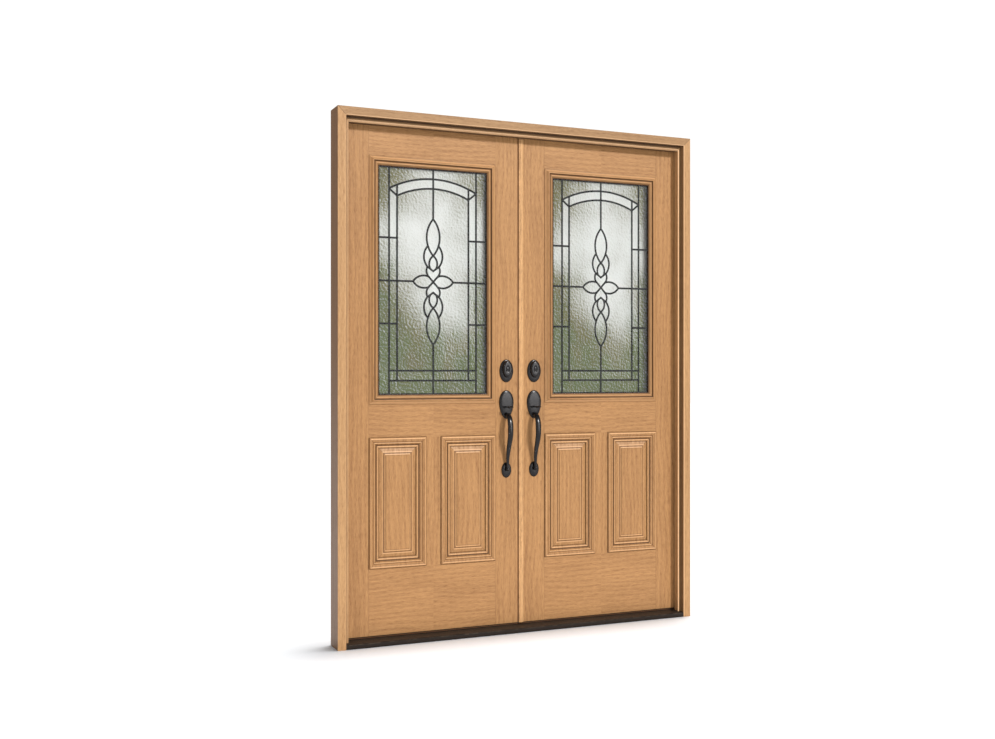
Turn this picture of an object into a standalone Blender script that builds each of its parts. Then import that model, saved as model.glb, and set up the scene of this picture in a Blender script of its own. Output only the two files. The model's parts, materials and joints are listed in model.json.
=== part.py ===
"""Glazed double entry door: two glazed, panelled leaves in a cased frame with a sill.

Metres. +X is to the right seen from outside, +Y runs into the building, +Z is up.
The origin is the middle of the sill's underside. The outside of the door faces -Y.
Depths are measured back from the front of the casing, heights up from the underside of the sill.
"""

from math import cos, hypot, pi, sin

import bmesh
import bpy
import numpy as np
from mathutils import Matrix, Vector

# Frame
UNIT_WIDTH = 1.575
UNIT_HEIGHT = 2.076
FRAME_DEPTH = 0.1015
CASING_WIDTH = 0.033
CASING_THICKNESS = 0.022
JAMB_THICKNESS = 0.0367
HEAD_THICKNESS = 0.0433
STOP_PROJECTION = 0.0113
CONTACT_GAP = 0.0003

# Weather seal in its kerf
SEAL_SPACE = 0.006
KERF_WIDTH = 0.0032
KERF_DEPTH = 0.008
SEAL_WIDTH = 0.008
SEAL_SETBACK = 0.0017

# Sill
NOSING_HEIGHT = 0.0194
DECK_HEIGHT = 0.0248
DECK_DEPTH = 0.0614
CAP_SEAT_HEIGHT = 0.018
CAP_TOP_HEIGHT = 0.026
EASED_EDGE = 0.0025

# Leaves
SLAB_THICKNESS = 0.0445
SLAB_FOOT_HEIGHT = 0.031
SLAB_CLEARANCE = 0.003
MEETING_SPACE = 0.0224
SLAB_EDGE_EASE = 0.001
SWEEP_HEIGHT = 0.0039
SWEEP_FIN = 0.0022

# Raised panels
PANEL_TOP = 0.803
PANEL_HEIGHT = 0.5095
PANEL_STILE = 0.1013
MULLION_WIDTH = 0.064
PANEL_PROFILE = (
    (0.0025, 0.0015),
    (0.0035, 0.0020),
    (0.0040, 0.0),
    (0.0030, -0.0025),
    (0.0030, -0.0005),
    (0.0010, -0.0020),
    (0.0070, -0.0035),
    (0.0030, -0.0025),
    (0.0040, -0.0005),
    (0.0050, 0.0),
    (0.0320, 0.0055),
    (0.0015, 0.0015),
)
INSIDE_PANEL_PROFILE = (
    (0.0080, 0.0030),
    (0.0080, -0.0030),
    (0.0120, -0.0075),
    (0.0080, 0.0),
    (0.0320, 0.0055),
)

# Glazing
GLAZED_STILE = 0.1388
TOP_RAIL = 0.1607
LOCK_RAIL = 0.169
GLAZING_FRAME_FACE = 0.038
CUTOUT_LIP = 0.012
GLASS_BITE = 0.0195
LEG_THICKNESS = 0.0032
LEG_DEPTH = 0.019
CLEAR_PANE = 0.003
LEADED_PANE = 0.005
CAME_THICKNESS = 0.002
SPACER_THICKNESS = 0.0115
SPACER_WIDTH = 0.012
OUTER_FRAME_PROFILE = (
    (0.0, 0.0024),
    (0.0025, 0.0030),
    (0.0060, 0.0048),
    (0.0095, 0.0082),
    (0.0120, 0.0104),
    (0.0150, 0.0120),
    (0.0190, 0.0120),
    (0.0225, 0.0102),
    (0.0236, 0.0080),
    (0.0254, 0.0080),
    (0.0262, 0.0094),
    (0.0286, 0.0094),
    (0.0310, 0.0064),
    (0.0350, 0.0046),
)
INNER_FRAME_PROFILE = (
    (0.0, 0.0024),
    (0.0060, 0.0048),
    (0.0120, 0.0100),
    (0.0190, 0.0110),
    (0.0240, 0.0084),
    (0.0310, 0.0064),
)
LIP_HEIGHT = 0.0030
LIP_THICKNESS = 0.0035

# Leaded pattern, measured from the middle of the glass
CAME_WIDTH = 0.005
BORDER_INSET = 0.0065
BAR_INSET = 0.045
STRIP_WIDTH = 0.033
TICK_HEIGHT = 0.169
ARCH_INSET = 0.039
OUTER_ARCH_RISE = 0.047
ARCH_BAND = 0.0385
INNER_ARCH_RISE = 0.0355
LOWER_BAND_INSET = 0.055
LOWER_BAND_WIDTH = 0.0395
ORNAMENT_CLEARANCE = 0.1985
CURVE_STEPS = 3

# Astragal on the edge of the right leaf
ASTRAGAL_GAP = 0.005
ASTRAGAL_PROUD = 0.0038
ASTRAGAL_OVERLAP = 0.0038
ASTRAGAL_ROUNDING = 0.0012
ASTRAGAL_QUIRK = 0.0008
ASTRAGAL_FLAT = 0.0152
ASTRAGAL_TOP_CLEARANCE = 0.0030
ASTRAGAL_SEAL_THICKNESS = 0.0012
ASTRAGAL_SEAL_WIDTH = 0.006
ASTRAGAL_SEAL_DEPTH = 0.003

# Hinges
BOTTOM_HINGE_RISE = 0.209
TOP_HINGE_DROP = 0.2047
HINGE_LENGTH = 0.1016
HINGE_LEAF_THICKNESS = 0.0024
HINGE_LEAF_REACH = 0.032
KNUCKLE_RADIUS = 0.0062
PIN_RADIUS = 0.003
PIN_CLEARANCE = 0.0003
PIN_HEAD = 0.003
KNUCKLE_SIDES = 8

# Lock furniture
BACKSET = 0.0513
HANDLE_HEIGHT = 0.928
DEADBOLT_ABOVE_HANDLE = 0.138
LOWER_ROSE_DROP = 0.268
THUMB_DROP = 0.0065
ROSE_STEPS = 14
DEADBOLT_ROSE = (0.0610, 0.0930)
DEADBOLT_CAP = (0.0410, 0.0700)
DEADBOLT_CAP_RISE = 0.007
DEADBOLT_CAP_PROUD = 0.019
HANDLE_ROSE = (0.0630, 0.1160)
HANDLE_TAPER = 0.16
LOWER_ROSE = (0.0430, 0.0630)
INSIDE_ROSE = (0.0600, 0.0800)
ROSE_PROUD = 0.0085
LOWER_ROSE_PROUD = 0.0070
GRIP_BALL_RADIUS = 0.0078
GRIP_FLATNESS = 0.68
GRIP_SIDES = 8
GRIP_PATH = (
    (0.042, 0.0030, 0.0090),
    (0.048, 0.0250, 0.0100),
    (0.078, 0.0430, 0.0115),
    (0.128, 0.0405, 0.0113),
    (0.183, 0.0270, 0.0092),
    (0.222, 0.0180, 0.0068),
    (0.258, 0.0150, 0.0054),
)
GRIP_BALL_DROP = 0.264
THUMB_REACH = 0.044
THUMB_WIDTH = 0.033
THUMB_NECK = 0.013
THUMB_THICKNESS = 0.0034
THUMB_ROOT = 0.0035
THUMB_CUP = 0.0045
THUMB_DROOP = 0.0055
THUMB_SLOT_CLEARANCE = 0.0016
KNOB_RADIUS = 0.027
KNOB_PROUD = 0.062
KNOB_NECK_RADIUS = 0.0115
TURN_LENGTH = 0.038
TURN_THICKNESS = 0.0085
TURN_PROUD = 0.026

# Edge plates
FACEPLATE = (0.0254, 0.0570)
STRIKE_WIDTH = 0.022
STRIKE_MARGIN = 0.04275
STRIKE_HOLE = (0.0130, 0.0280)
EDGE_PLATE_THICKNESS = 0.002
PLATE_CORNER = 0.006

# Places worked out from the sizes above
FRONT = -FRAME_DEPTH / 2
BACK = FRAME_DEPTH / 2
HALF_WIDTH = UNIT_WIDTH / 2
SLAB_FRONT = BACK - SLAB_THICKNESS
STOP_BACK = SLAB_FRONT - SEAL_SPACE
STOP_REACH = JAMB_THICKNESS + STOP_PROJECTION
HEAD_STOP_BOTTOM = UNIT_HEIGHT - HEAD_THICKNESS - STOP_PROJECTION
REBATE_TOP = UNIT_HEIGHT - HEAD_THICKNESS
REBATE_HALF_WIDTH = HALF_WIDTH - JAMB_THICKNESS
SLAB_OUTER_X = REBATE_HALF_WIDTH - SLAB_CLEARANCE
SLAB_LOCK_X = MEETING_SPACE / 2
SLAB_WIDTH = SLAB_OUTER_X - SLAB_LOCK_X
LEAF_CENTRE = (SLAB_OUTER_X + SLAB_LOCK_X) / 2
SLAB_TOP_HEIGHT = REBATE_TOP - SLAB_CLEARANCE
PANEL_SPREAD = SLAB_WIDTH - 2 * PANEL_STILE
PANEL_WIDTH = (PANEL_SPREAD - MULLION_WIDTH) / 2
CLEAR_WIDTH = SLAB_WIDTH - 2 * GLAZED_STILE
CLEAR_HEIGHT = SLAB_TOP_HEIGHT - TOP_RAIL - LOCK_RAIL - PANEL_TOP
GLASS_CENTRE_HEIGHT = PANEL_TOP + LOCK_RAIL + CLEAR_HEIGHT / 2
HINGE_X = REBATE_HALF_WIDTH - SLAB_CLEARANCE / 2
HINGE_Y = BACK + KNUCKLE_RADIUS + CONTACT_GAP
BOTTOM_HINGE = SLAB_FOOT_HEIGHT + BOTTOM_HINGE_RISE
TOP_HINGE = SLAB_TOP_HEIGHT - TOP_HINGE_DROP
HINGE_HEIGHTS = (BOTTOM_HINGE, (BOTTOM_HINGE + TOP_HINGE) / 2, TOP_HINGE)
FURNITURE_X = SLAB_LOCK_X + BACKSET
DEADBOLT_HEIGHT = HANDLE_HEIGHT + DEADBOLT_ABOVE_HANDLE
LOWER_ROSE_HEIGHT = HANDLE_HEIGHT - LOWER_ROSE_DROP
THUMB_HEIGHT = HANDLE_HEIGHT - THUMB_DROP
INSIDE_KNOB_HEIGHT = THUMB_HEIGHT
STRIKE = (STRIKE_WIDTH, DEADBOLT_HEIGHT - THUMB_HEIGHT + 2 * STRIKE_MARGIN)
PANE_HALF_WIDTH = CLEAR_WIDTH / 2 + GLASS_BITE
PANE_HALF_HEIGHT = CLEAR_HEIGHT / 2 + GLASS_BITE
OUTER_PANE_FRONT = SLAB_FRONT + CONTACT_GAP
CAME_FRONT = OUTER_PANE_FRONT + CLEAR_PANE + CONTACT_GAP
LEADED_PANE_FRONT = CAME_FRONT + CAME_THICKNESS + CONTACT_GAP
SPACER_FRONT = LEADED_PANE_FRONT + LEADED_PANE + CONTACT_GAP
INNER_PANE_FRONT = SPACER_FRONT + SPACER_THICKNESS + CONTACT_GAP
INNER_PANE_BACK = INNER_PANE_FRONT + CLEAR_PANE
ASTRAGAL_X = -SLAB_LOCK_X + ASTRAGAL_GAP
SIDES = (("left", -1), ("right", 1))

# Bars and arches of the leaded pattern, from the middle of the glass
OUTER_BAR = CLEAR_WIDTH / 2 - BAR_INSET
INNER_BAR = OUTER_BAR - STRIP_WIDTH
OUTER_ARCH_CROWN = CLEAR_HEIGHT / 2 - ARCH_INSET
OUTER_ARCH_SPRING = OUTER_ARCH_CROWN - OUTER_ARCH_RISE
INNER_ARCH_CROWN = OUTER_ARCH_CROWN - ARCH_BAND
INNER_ARCH_SPRING = INNER_ARCH_CROWN - INNER_ARCH_RISE
LOWER_BAND_BOTTOM = LOWER_BAND_INSET - CLEAR_HEIGHT / 2
LOWER_BAND_TOP = LOWER_BAND_BOTTOM + LOWER_BAND_WIDTH
ORNAMENT_TOP = CLEAR_HEIGHT / 2 - ORNAMENT_CLEARANCE


def of_ornament(across, up):
    """A point of the ornament, given as shares of its height above the middle."""
    return (across * ORNAMENT_TOP, up * ORNAMENT_TOP)


LEAF_WIDEST = of_ornament(0.110, 0.724)
LEAF_FOOT = 0.416 * ORNAMENT_TOP
SIDE_PETAL_START = of_ornament(0.096, 0.566)
SIDE_PETAL_WIDEST = of_ornament(0.156, 0.428)
SIDE_PETAL_END = of_ornament(0.096, 0.240)
PETALS_MEET = 0.172 * ORNAMENT_TOP
DROP_WIDEST = of_ornament(0.064, 0.320)
DROP_END = of_ornament(0.048, 0.206)
HEART_WIDEST = of_ornament(0.114, 0.182)
HEART_END = of_ornament(0.078, 0.084)
CROSS_PETAL_PEAK = of_ornament(0.174, 0.098)
CROSS_PETAL_TIP = 0.340 * ORNAMENT_TOP

# Finishes: colour, roughness, metallic
FINISHES = {
    "oak_casing": ((0.62, 0.37, 0.18), 0.5, 0.0),
    "oak_skin": ((0.56, 0.31, 0.14), 0.5, 0.0),
    "sill_bronze": ((0.055, 0.038, 0.027), 0.45, 0.8),
    "sill_cap": ((0.09, 0.06, 0.04), 0.6, 0.0),
    "seal_rubber": ((0.03, 0.02, 0.015), 0.8, 0.0),
    "clear_glass": ((0.95, 0.97, 0.96), 0.03, 0.0),
    "textured_glass": ((0.80, 0.82, 0.78), 0.25, 0.0),
    "came_lead": ((0.02, 0.02, 0.02), 0.5, 0.9),
    "spacer_black": ((0.01, 0.01, 0.01), 0.7, 0.0),
    "dark_bronze": ((0.035, 0.028, 0.026), 0.42, 0.7),
    "hinge_bronze": ((0.07, 0.05, 0.035), 0.4, 0.9),
    "plate_bronze": ((0.10, 0.07, 0.045), 0.38, 0.9),
}


def clear_scene():
    for obj in list(bpy.data.objects):
        bpy.data.objects.remove(obj)


def new_collection(name):
    collection = bpy.data.collections.new(name)
    bpy.context.scene.collection.children.link(collection)
    return collection


def finish(name):
    """The material of this name, made the first time that it is asked for."""
    material = bpy.data.materials.get(name)
    if material:
        return material
    colour, roughness, metallic = FINISHES[name]
    material = bpy.data.materials.new(name)
    material.use_nodes = True
    shader = material.node_tree.nodes["Principled BSDF"]
    shader.inputs["Base Color"].default_value = (*colour, 1.0)
    shader.inputs["Roughness"].default_value = roughness
    shader.inputs["Metallic"].default_value = metallic
    material.diffuse_color = (*colour, 1.0)
    return material


def add_node(name, data, material, origin=(0.0, 0.0, 0.0), parent=None):
    """Links an object for this mesh or curve, with its origin in its place."""
    obj = bpy.data.objects.new(name, data)
    obj.location = origin
    data.materials.append(finish(material))
    DOOR.objects.link(obj)
    if parent:
        ride_on(obj, parent)
    return obj


def ride_on(obj, parent):
    obj.parent = parent
    obj.matrix_parent_inverse = parent.matrix_basis.inverted()


def joint_empty(name, location):
    """An empty on a joint's axis, which the moving pieces hang from."""
    empty = bpy.data.objects.new(name, None)
    empty.location = location
    empty.empty_display_size = 0.05
    DOOR.objects.link(empty)
    return empty


def mesh_from(bm, name):
    mesh = bpy.data.meshes.new(name)
    bm.to_mesh(mesh)
    bm.free()
    return mesh


def box_mesh(name, low, high, ease=0.0):
    """A box between two corners, its edges chamfered by ease."""
    bm = bmesh.new()
    bmesh.ops.create_cube(bm, size=1.0)
    size = Vector(high) - Vector(low)
    middle = (Vector(high) + Vector(low)) / 2
    bmesh.ops.transform(bm, matrix=Matrix.LocRotScale(middle, None, size), verts=bm.verts)
    if ease:
        bmesh.ops.bevel(bm, geom=bm.edges[:], offset=ease, segments=1, affect="EDGES")
    return mesh_from(bm, name)


def box(name, low, high, material, parent=None, ease=0.0):
    return add_node(name, box_mesh(name, low, high, ease), material, parent=parent)


def cutter(name, low, high):
    """A hidden box that a Boolean takes away."""
    obj = bpy.data.objects.new(name, box_mesh(name, low, high))
    hide_tool(obj)
    return obj


def hide_tool(obj):
    obj.hide_render = True
    obj.display_type = "WIRE"
    CUTTERS.objects.link(obj)


def cut(obj, tool):
    """Takes the tool's shape out of the object."""
    modifier = obj.modifiers.new("cut_" + tool.name, "BOOLEAN")
    modifier.operation = "DIFFERENCE"
    modifier.solver = "EXACT"
    modifier.object = tool


def flat_curve(name, outlines, thickness):
    """A flat outline with holes, as a filled 2D curve, thickened both ways from its own plane."""
    curve = bpy.data.curves.new(name, "CURVE")
    curve.dimensions = "2D"
    curve.fill_mode = "BOTH"
    curve.extrude = thickness / 2
    for outline in outlines:
        spline = curve.splines.new("POLY")
        spline.points.add(len(outline) - 1)
        flat = [(x, y, 0.0, 1.0) for x, y in outline]
        spline.points.foreach_set("co", np.array(flat, dtype=np.float32).ravel())
        spline.use_cyclic_u = True
    return curve


def welded(curve_object):
    """The curve as one closed mesh in world space, its faces outward. The curve is removed."""
    bpy.context.view_layer.update()
    graph = bpy.context.evaluated_depsgraph_get()
    mesh = bpy.data.meshes.new_from_object(curve_object.evaluated_get(graph))
    bm = bmesh.new()
    bm.from_mesh(mesh)
    bmesh.ops.transform(bm, matrix=curve_object.matrix_world, verts=bm.verts)
    bmesh.ops.remove_doubles(bm, verts=bm.verts, dist=0.00001)
    bmesh.ops.recalc_face_normals(bm, faces=bm.faces)
    bm.to_mesh(mesh)
    bm.free()
    curve = curve_object.data
    bpy.data.objects.remove(curve_object)
    bpy.data.curves.remove(curve)
    return mesh


def prism_mesh(name, outline, start, end, axis):
    """A straight length of a section: (Y, Z) points along X, (X, Z) along Y or (X, Y) along Z."""
    turn = {
        "X": Matrix(((0, 0, 1), (1, 0, 0), (0, 1, 0))),
        "Y": Matrix(((1, 0, 0), (0, 0, -1), (0, 1, 0))),
        "Z": Matrix.Identity(3),
    }[axis]
    towards = -1.0 if axis == "Y" else 1.0
    curve = flat_curve(name + "_section", [outline], abs(end - start))
    holder = bpy.data.objects.new(name + "_section", curve)
    CUTTERS.objects.link(holder)
    along = turn @ Vector((0.0, 0.0, towards * (start + end) / 2))
    holder.matrix_world = Matrix.LocRotScale(along, turn.to_quaternion(), None)
    return welded(holder)


def prism(name, outline, start, end, axis, material, parent=None):
    """A piece with one section for its whole length."""
    mesh = prism_mesh(name, outline, start, end, axis)
    return add_node(name, mesh, material, parent=parent)


def arc_through(start, middle, end, steps):
    """Points of the circle through three points, from start up to but without end."""
    (ax, ay), (bx, by), (cx, cy) = start, middle, end
    d = 2 * (ax * (by - cy) + bx * (cy - ay) + cx * (ay - by))
    a2, b2, c2 = ax * ax + ay * ay, bx * bx + by * by, cx * cx + cy * cy
    ux = (a2 * (by - cy) + b2 * (cy - ay) + c2 * (ay - by)) / d
    uy = (a2 * (cx - bx) + b2 * (ax - cx) + c2 * (bx - ax)) / d
    angles = np.unwrap(np.arctan2([ay - uy, by - uy, cy - uy], [ax - ux, bx - ux, cx - ux]))
    radius = hypot(ax - ux, ay - uy)
    along = np.linspace(angles[0], angles[2], steps + 1)[:-1]
    return [(ux + radius * cos(t), uy + radius * sin(t)) for t in along]


def rectangle(left, right, low, high):
    return [(left, low), (right, low), (right, high), (left, high)]


def rounded_rectangle(width, height, radius, steps=2):
    """A rectangle about the origin with round corners."""
    points = []
    for turn, (sx, sy) in enumerate(((1, 1), (-1, 1), (-1, -1), (1, -1))):
        for step in range(steps + 1):
            angle = (turn + step / steps) * pi / 2
            x = sx * (width / 2 - radius) + radius * cos(angle)
            y = sy * (height / 2 - radius) + radius * sin(angle)
            points.append((x, y))
    return points


def mirrored(points):
    return [(-x, y) for x, y in reversed(points)]


def upside_down(points):
    return [(x, -y) for x, y in reversed(points)]


def inset(points, distance):
    """Moves each side of a closed outline inward by the distance and meets the sides again."""
    outline = np.array(points)
    x, y = outline.T
    if (x * np.roll(y, -1) - np.roll(x, -1) * y).sum() < 0:
        outline = outline[::-1]
    side = np.roll(outline, -1, axis=0) - outline
    side /= np.linalg.norm(side, axis=1)[:, None]
    inward = np.stack([-side[:, 1], side[:, 0]], axis=1)
    before = np.roll(inward, 1, axis=0)
    bisector = (inward + before) / (1 + (inward * before).sum(axis=1))[:, None]
    return [tuple(point) for point in outline + bisector * distance]


def glass_pieces():
    """The outlines of the pieces of glass between the middles of the cames."""
    half_width = CLEAR_WIDTH / 2 - BORDER_INSET + CAME_WIDTH / 2
    half_height = CLEAR_HEIGHT / 2 - BORDER_INSET + CAME_WIDTH / 2
    outer_arch = arc_through(
        (OUTER_BAR, OUTER_ARCH_SPRING), (0.0, OUTER_ARCH_CROWN), (-OUTER_BAR, OUTER_ARCH_SPRING), 64
    )
    at_inner_bar = min(outer_arch, key=lambda point: abs(point[0] - INNER_BAR))[1]
    quarter = 2 * CURVE_STEPS
    right_outer = arc_through(
        (OUTER_BAR, OUTER_ARCH_SPRING), (0.0, OUTER_ARCH_CROWN), (-OUTER_BAR, OUTER_ARCH_SPRING), quarter
    )[:CURVE_STEPS]
    right_band = arc_through(
        (INNER_BAR, at_inner_bar), (0.0, OUTER_ARCH_CROWN), (-INNER_BAR, at_inner_bar), quarter
    )[:CURVE_STEPS]
    right_inner = arc_through(
        (INNER_BAR, INNER_ARCH_SPRING), (0.0, INNER_ARCH_CROWN), (-INNER_BAR, INNER_ARCH_SPRING), quarter
    )[:CURVE_STEPS]
    leaf = arc_through((0.0, LEAF_FOOT), LEAF_WIDEST, (0.0, ORNAMENT_TOP), 2 * CURVE_STEPS)
    leaf_above = [p for p in leaf if p[1] > SIDE_PETAL_START[1] + CAME_WIDTH]
    leaf_below = [p for p in leaf[1:] if p[1] < SIDE_PETAL_START[1] - CAME_WIDTH]
    side_petal = arc_through(SIDE_PETAL_END, SIDE_PETAL_WIDEST, SIDE_PETAL_START, CURVE_STEPS)
    heart = arc_through(HEART_END, HEART_WIDEST, SIDE_PETAL_END, CURVE_STEPS // 2)
    cross_petal = arc_through((CROSS_PETAL_TIP, 0.0), CROSS_PETAL_PEAK, HEART_END, CURVE_STEPS)
    drop = arc_through(DROP_END, DROP_WIDEST, (0.0, LEAF_FOOT), CURVE_STEPS)
    ornament_side = cross_petal + heart + side_petal + [SIDE_PETAL_START] + leaf_above
    ornament_side += [(0.0, ORNAMENT_TOP)]

    pieces = []
    levels = (-half_height, -TICK_HEIGHT, 0.0, TICK_HEIGHT, half_height)
    for low, high in zip(levels, levels[1:]):
        pieces.append(rectangle(OUTER_BAR, half_width, low, high))
    for low, high in ((LOWER_BAND_TOP, -TICK_HEIGHT), (-TICK_HEIGHT, 0.0), (0.0, TICK_HEIGHT)):
        pieces.append(rectangle(INNER_BAR, OUTER_BAR, low, high))
    pieces.append(
        [
            (INNER_BAR, TICK_HEIGHT),
            (OUTER_BAR, TICK_HEIGHT),
            (OUTER_BAR, OUTER_ARCH_SPRING),
            (INNER_BAR, INNER_ARCH_SPRING),
        ]
    )
    pieces.append(rectangle(INNER_BAR, OUTER_BAR, LOWER_BAND_BOTTOM, LOWER_BAND_TOP))
    pieces.append(rectangle(0.0, INNER_BAR, LOWER_BAND_BOTTOM, LOWER_BAND_TOP))
    pieces.append(rectangle(0.0, OUTER_BAR, -half_height, LOWER_BAND_BOTTOM))
    pieces.append(
        [(INNER_BAR, INNER_ARCH_SPRING), (OUTER_BAR, OUTER_ARCH_SPRING), (INNER_BAR, at_inner_bar)]
    )
    pieces.append(right_band + [(0.0, OUTER_ARCH_CROWN), (0.0, INNER_ARCH_CROWN)] + right_inner[::-1])
    pieces.append(right_outer + [(0.0, OUTER_ARCH_CROWN), (0.0, half_height), (OUTER_BAR, half_height)])
    pieces.append(
        [(INNER_BAR, 0.0)] + right_inner + [(0.0, INNER_ARCH_CROWN)] + ornament_side[::-1]
    )
    field_foot = [(INNER_BAR, 0.0), (INNER_BAR, -LOWER_BAND_TOP), (0.0, -LOWER_BAND_TOP)]
    pieces.append(upside_down(ornament_side[::-1] + field_foot))
    side = [SIDE_PETAL_START] + leaf_below[::-1] + [(0.0, LEAF_FOOT)] + drop[::-1]
    pieces.append(side + side_petal)
    pieces.append(upside_down(side + side_petal))
    pieces += [mirrored(piece) for piece in pieces]

    half_leaf = leaf + [(0.0, ORNAMENT_TOP)]
    whole_leaf = half_leaf + mirrored(half_leaf)[1:-1]
    half_drop = [(0.0, PETALS_MEET)] + drop + [(0.0, LEAF_FOOT)]
    whole_drop = half_drop + mirrored(half_drop)[1:-1]
    half_heart = [(0.0, 0.0)] + heart + [SIDE_PETAL_END, (0.0, PETALS_MEET)]
    whole_heart = half_heart + mirrored(half_heart)[1:-1]
    for piece in (whole_leaf, whole_drop, whole_heart):
        pieces += [piece, upside_down(piece)]
    half_cross = cross_petal + [HEART_END, (0.0, 0.0)]
    whole_cross = half_cross + upside_down(half_cross)[1:-1]
    pieces += [whole_cross, mirrored(whole_cross)]
    return pieces


def came(name, centre, parent):
    """The lattice of lead cames: one plate with an opening for each piece of glass."""
    plate = rectangle(-PANE_HALF_WIDTH, PANE_HALF_WIDTH, -PANE_HALF_HEIGHT, PANE_HALF_HEIGHT)
    openings = [inset(piece, CAME_WIDTH / 2) for piece in glass_pieces()]
    curve = flat_curve(name, [plate] + openings, CAME_THICKNESS)
    obj = add_node(name, curve, "came_lead")
    obj.rotation_euler = (pi / 2, 0.0, 0.0)
    obj.location = (centre, CAME_FRONT + CAME_THICKNESS / 2, GLASS_CENTRE_HEIGHT)
    ride_on(obj, parent)
    return obj


def moulded_ring(name, section, half_width, half_height, front, outward, centre, material, parent):
    """A moulding carried round a rectangle with mitred corners.

    The section holds (distance in from the outer edge, height above the slab's face).
    """
    profile = bpy.data.curves.new(name + "_profile", "CURVE")
    profile.dimensions = "2D"
    spline = profile.splines.new("POLY")
    spline.points.add(len(section) - 1)
    for point, (across, height) in zip(spline.points, section):
        point.co = (across, height, 0.0, 1.0)
    spline.use_cyclic_u = True
    profile_object = bpy.data.objects.new(name + "_profile", profile)
    CUTTERS.objects.link(profile_object)
    path = bpy.data.curves.new(name + "_path", "CURVE")
    path.dimensions = "2D"
    path.bevel_mode = "OBJECT"
    path.bevel_object = profile_object
    path.fill_mode = "NONE"
    corners = rectangle(-half_width, half_width, -half_height, half_height)
    spline = path.splines.new("POLY")
    spline.points.add(3)
    for point, (x, y) in zip(spline.points, corners):
        point.co = (x, y, 0.0, 1.0)
    spline.use_cyclic_u = True
    holder = bpy.data.objects.new(name + "_path", path)
    CUTTERS.objects.link(holder)
    holder.matrix_world = Matrix.Translation((centre, front, GLASS_CENTRE_HEIGHT)) @ Matrix.Rotation(
        outward * pi / 2, 4, "X"
    )
    mesh = welded(holder)
    bpy.data.objects.remove(profile_object)
    return add_node(name, mesh, material, parent=parent)


def outer_frame_section():
    """The outside glazing frame: its moulding, its lip on the glass and its leg through the cut-out."""
    leg = CUTOUT_LIP + LEG_THICKNESS / 3
    section = [(0.0, CONTACT_GAP)] + list(OUTER_FRAME_PROFILE)
    section += [(GLAZING_FRAME_FACE, LIP_HEIGHT), (GLAZING_FRAME_FACE, 0.0)]
    section += [(leg + LEG_THICKNESS, 0.0), (leg + LEG_THICKNESS, -LEG_DEPTH), (leg, -LEG_DEPTH)]
    section += [(leg, CONTACT_GAP)]
    return section


def inner_frame_section():
    """The inside glazing frame: a plainer moulding with a deep lip that presses on the inner pane."""
    leg = CUTOUT_LIP + LEG_THICKNESS / 3
    lip_foot = INNER_PANE_BACK - BACK + CONTACT_GAP
    under = -LIP_THICKNESS
    section = [(0.0, CONTACT_GAP)] + list(INNER_FRAME_PROFILE)
    section += [(GLAZING_FRAME_FACE, LIP_HEIGHT), (GLAZING_FRAME_FACE, lip_foot)]
    section += [(GLAZING_FRAME_FACE - LIP_THICKNESS, lip_foot), (GLAZING_FRAME_FACE - LIP_THICKNESS, under)]
    section += [(leg + LEG_THICKNESS, under), (leg + LEG_THICKNESS, lip_foot), (leg, lip_foot)]
    section += [(leg, CONTACT_GAP)]
    return section


def slab(name, side, parent):
    """A leaf's slab with two raised panels on each face and a cut-out for the glazing."""
    centre = side * LEAF_CENTRE
    low = (centre - SLAB_WIDTH / 2, SLAB_FRONT, SLAB_FOOT_HEIGHT)
    high = (centre + SLAB_WIDTH / 2, BACK, SLAB_TOP_HEIGHT)
    bm = bmesh.new()
    bm.from_mesh(box_mesh(name, low, high, SLAB_EDGE_EASE))
    lefts = (centre - PANEL_SPREAD / 2, centre + PANEL_SPREAD / 2 - PANEL_WIDTH)
    edges_z = (PANEL_TOP - PANEL_HEIGHT, PANEL_TOP)
    lines = [((x, 0, 0), (1, 0, 0)) for left in lefts for x in (left, left + PANEL_WIDTH)]
    lines += [((0, 0, z), (0, 0, 1)) for z in edges_z]
    for point, normal in lines:
        everything = bm.verts[:] + bm.edges[:] + bm.faces[:]
        bmesh.ops.bisect_plane(bm, geom=everything, plane_co=point, plane_no=normal)
    panels = [face for face in bm.faces if in_panel(face, lefts, edges_z)]
    for face in panels:
        profile = PANEL_PROFILE if face.normal.y < 0 else INSIDE_PANEL_PROFILE
        for across, rise in profile:
            bmesh.ops.inset_region(bm, faces=[face], thickness=across, depth=rise, use_even_offset=True)
    obj = add_node(name, mesh_from(bm, name), "oak_skin", parent=parent)
    half_width = CLEAR_WIDTH / 2 + GLAZING_FRAME_FACE - CUTOUT_LIP
    half_height = CLEAR_HEIGHT / 2 + GLAZING_FRAME_FACE - CUTOUT_LIP
    low = (centre - half_width, SLAB_FRONT - SLAB_THICKNESS, GLASS_CENTRE_HEIGHT - half_height)
    high = (centre + half_width, BACK + SLAB_THICKNESS, GLASS_CENTRE_HEIGHT + half_height)
    cut(obj, cutter(name + "_window", low, high))
    return obj


def in_panel(face, lefts, edges_z):
    """True for the front or back face of the slab that lies inside a panel's edges."""
    middle = face.calc_center_median()
    if abs(face.normal.y) < 0.9 or not edges_z[0] < middle.z < edges_z[1]:
        return False
    return any(left < middle.x < left + PANEL_WIDTH for left in lefts)


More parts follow.
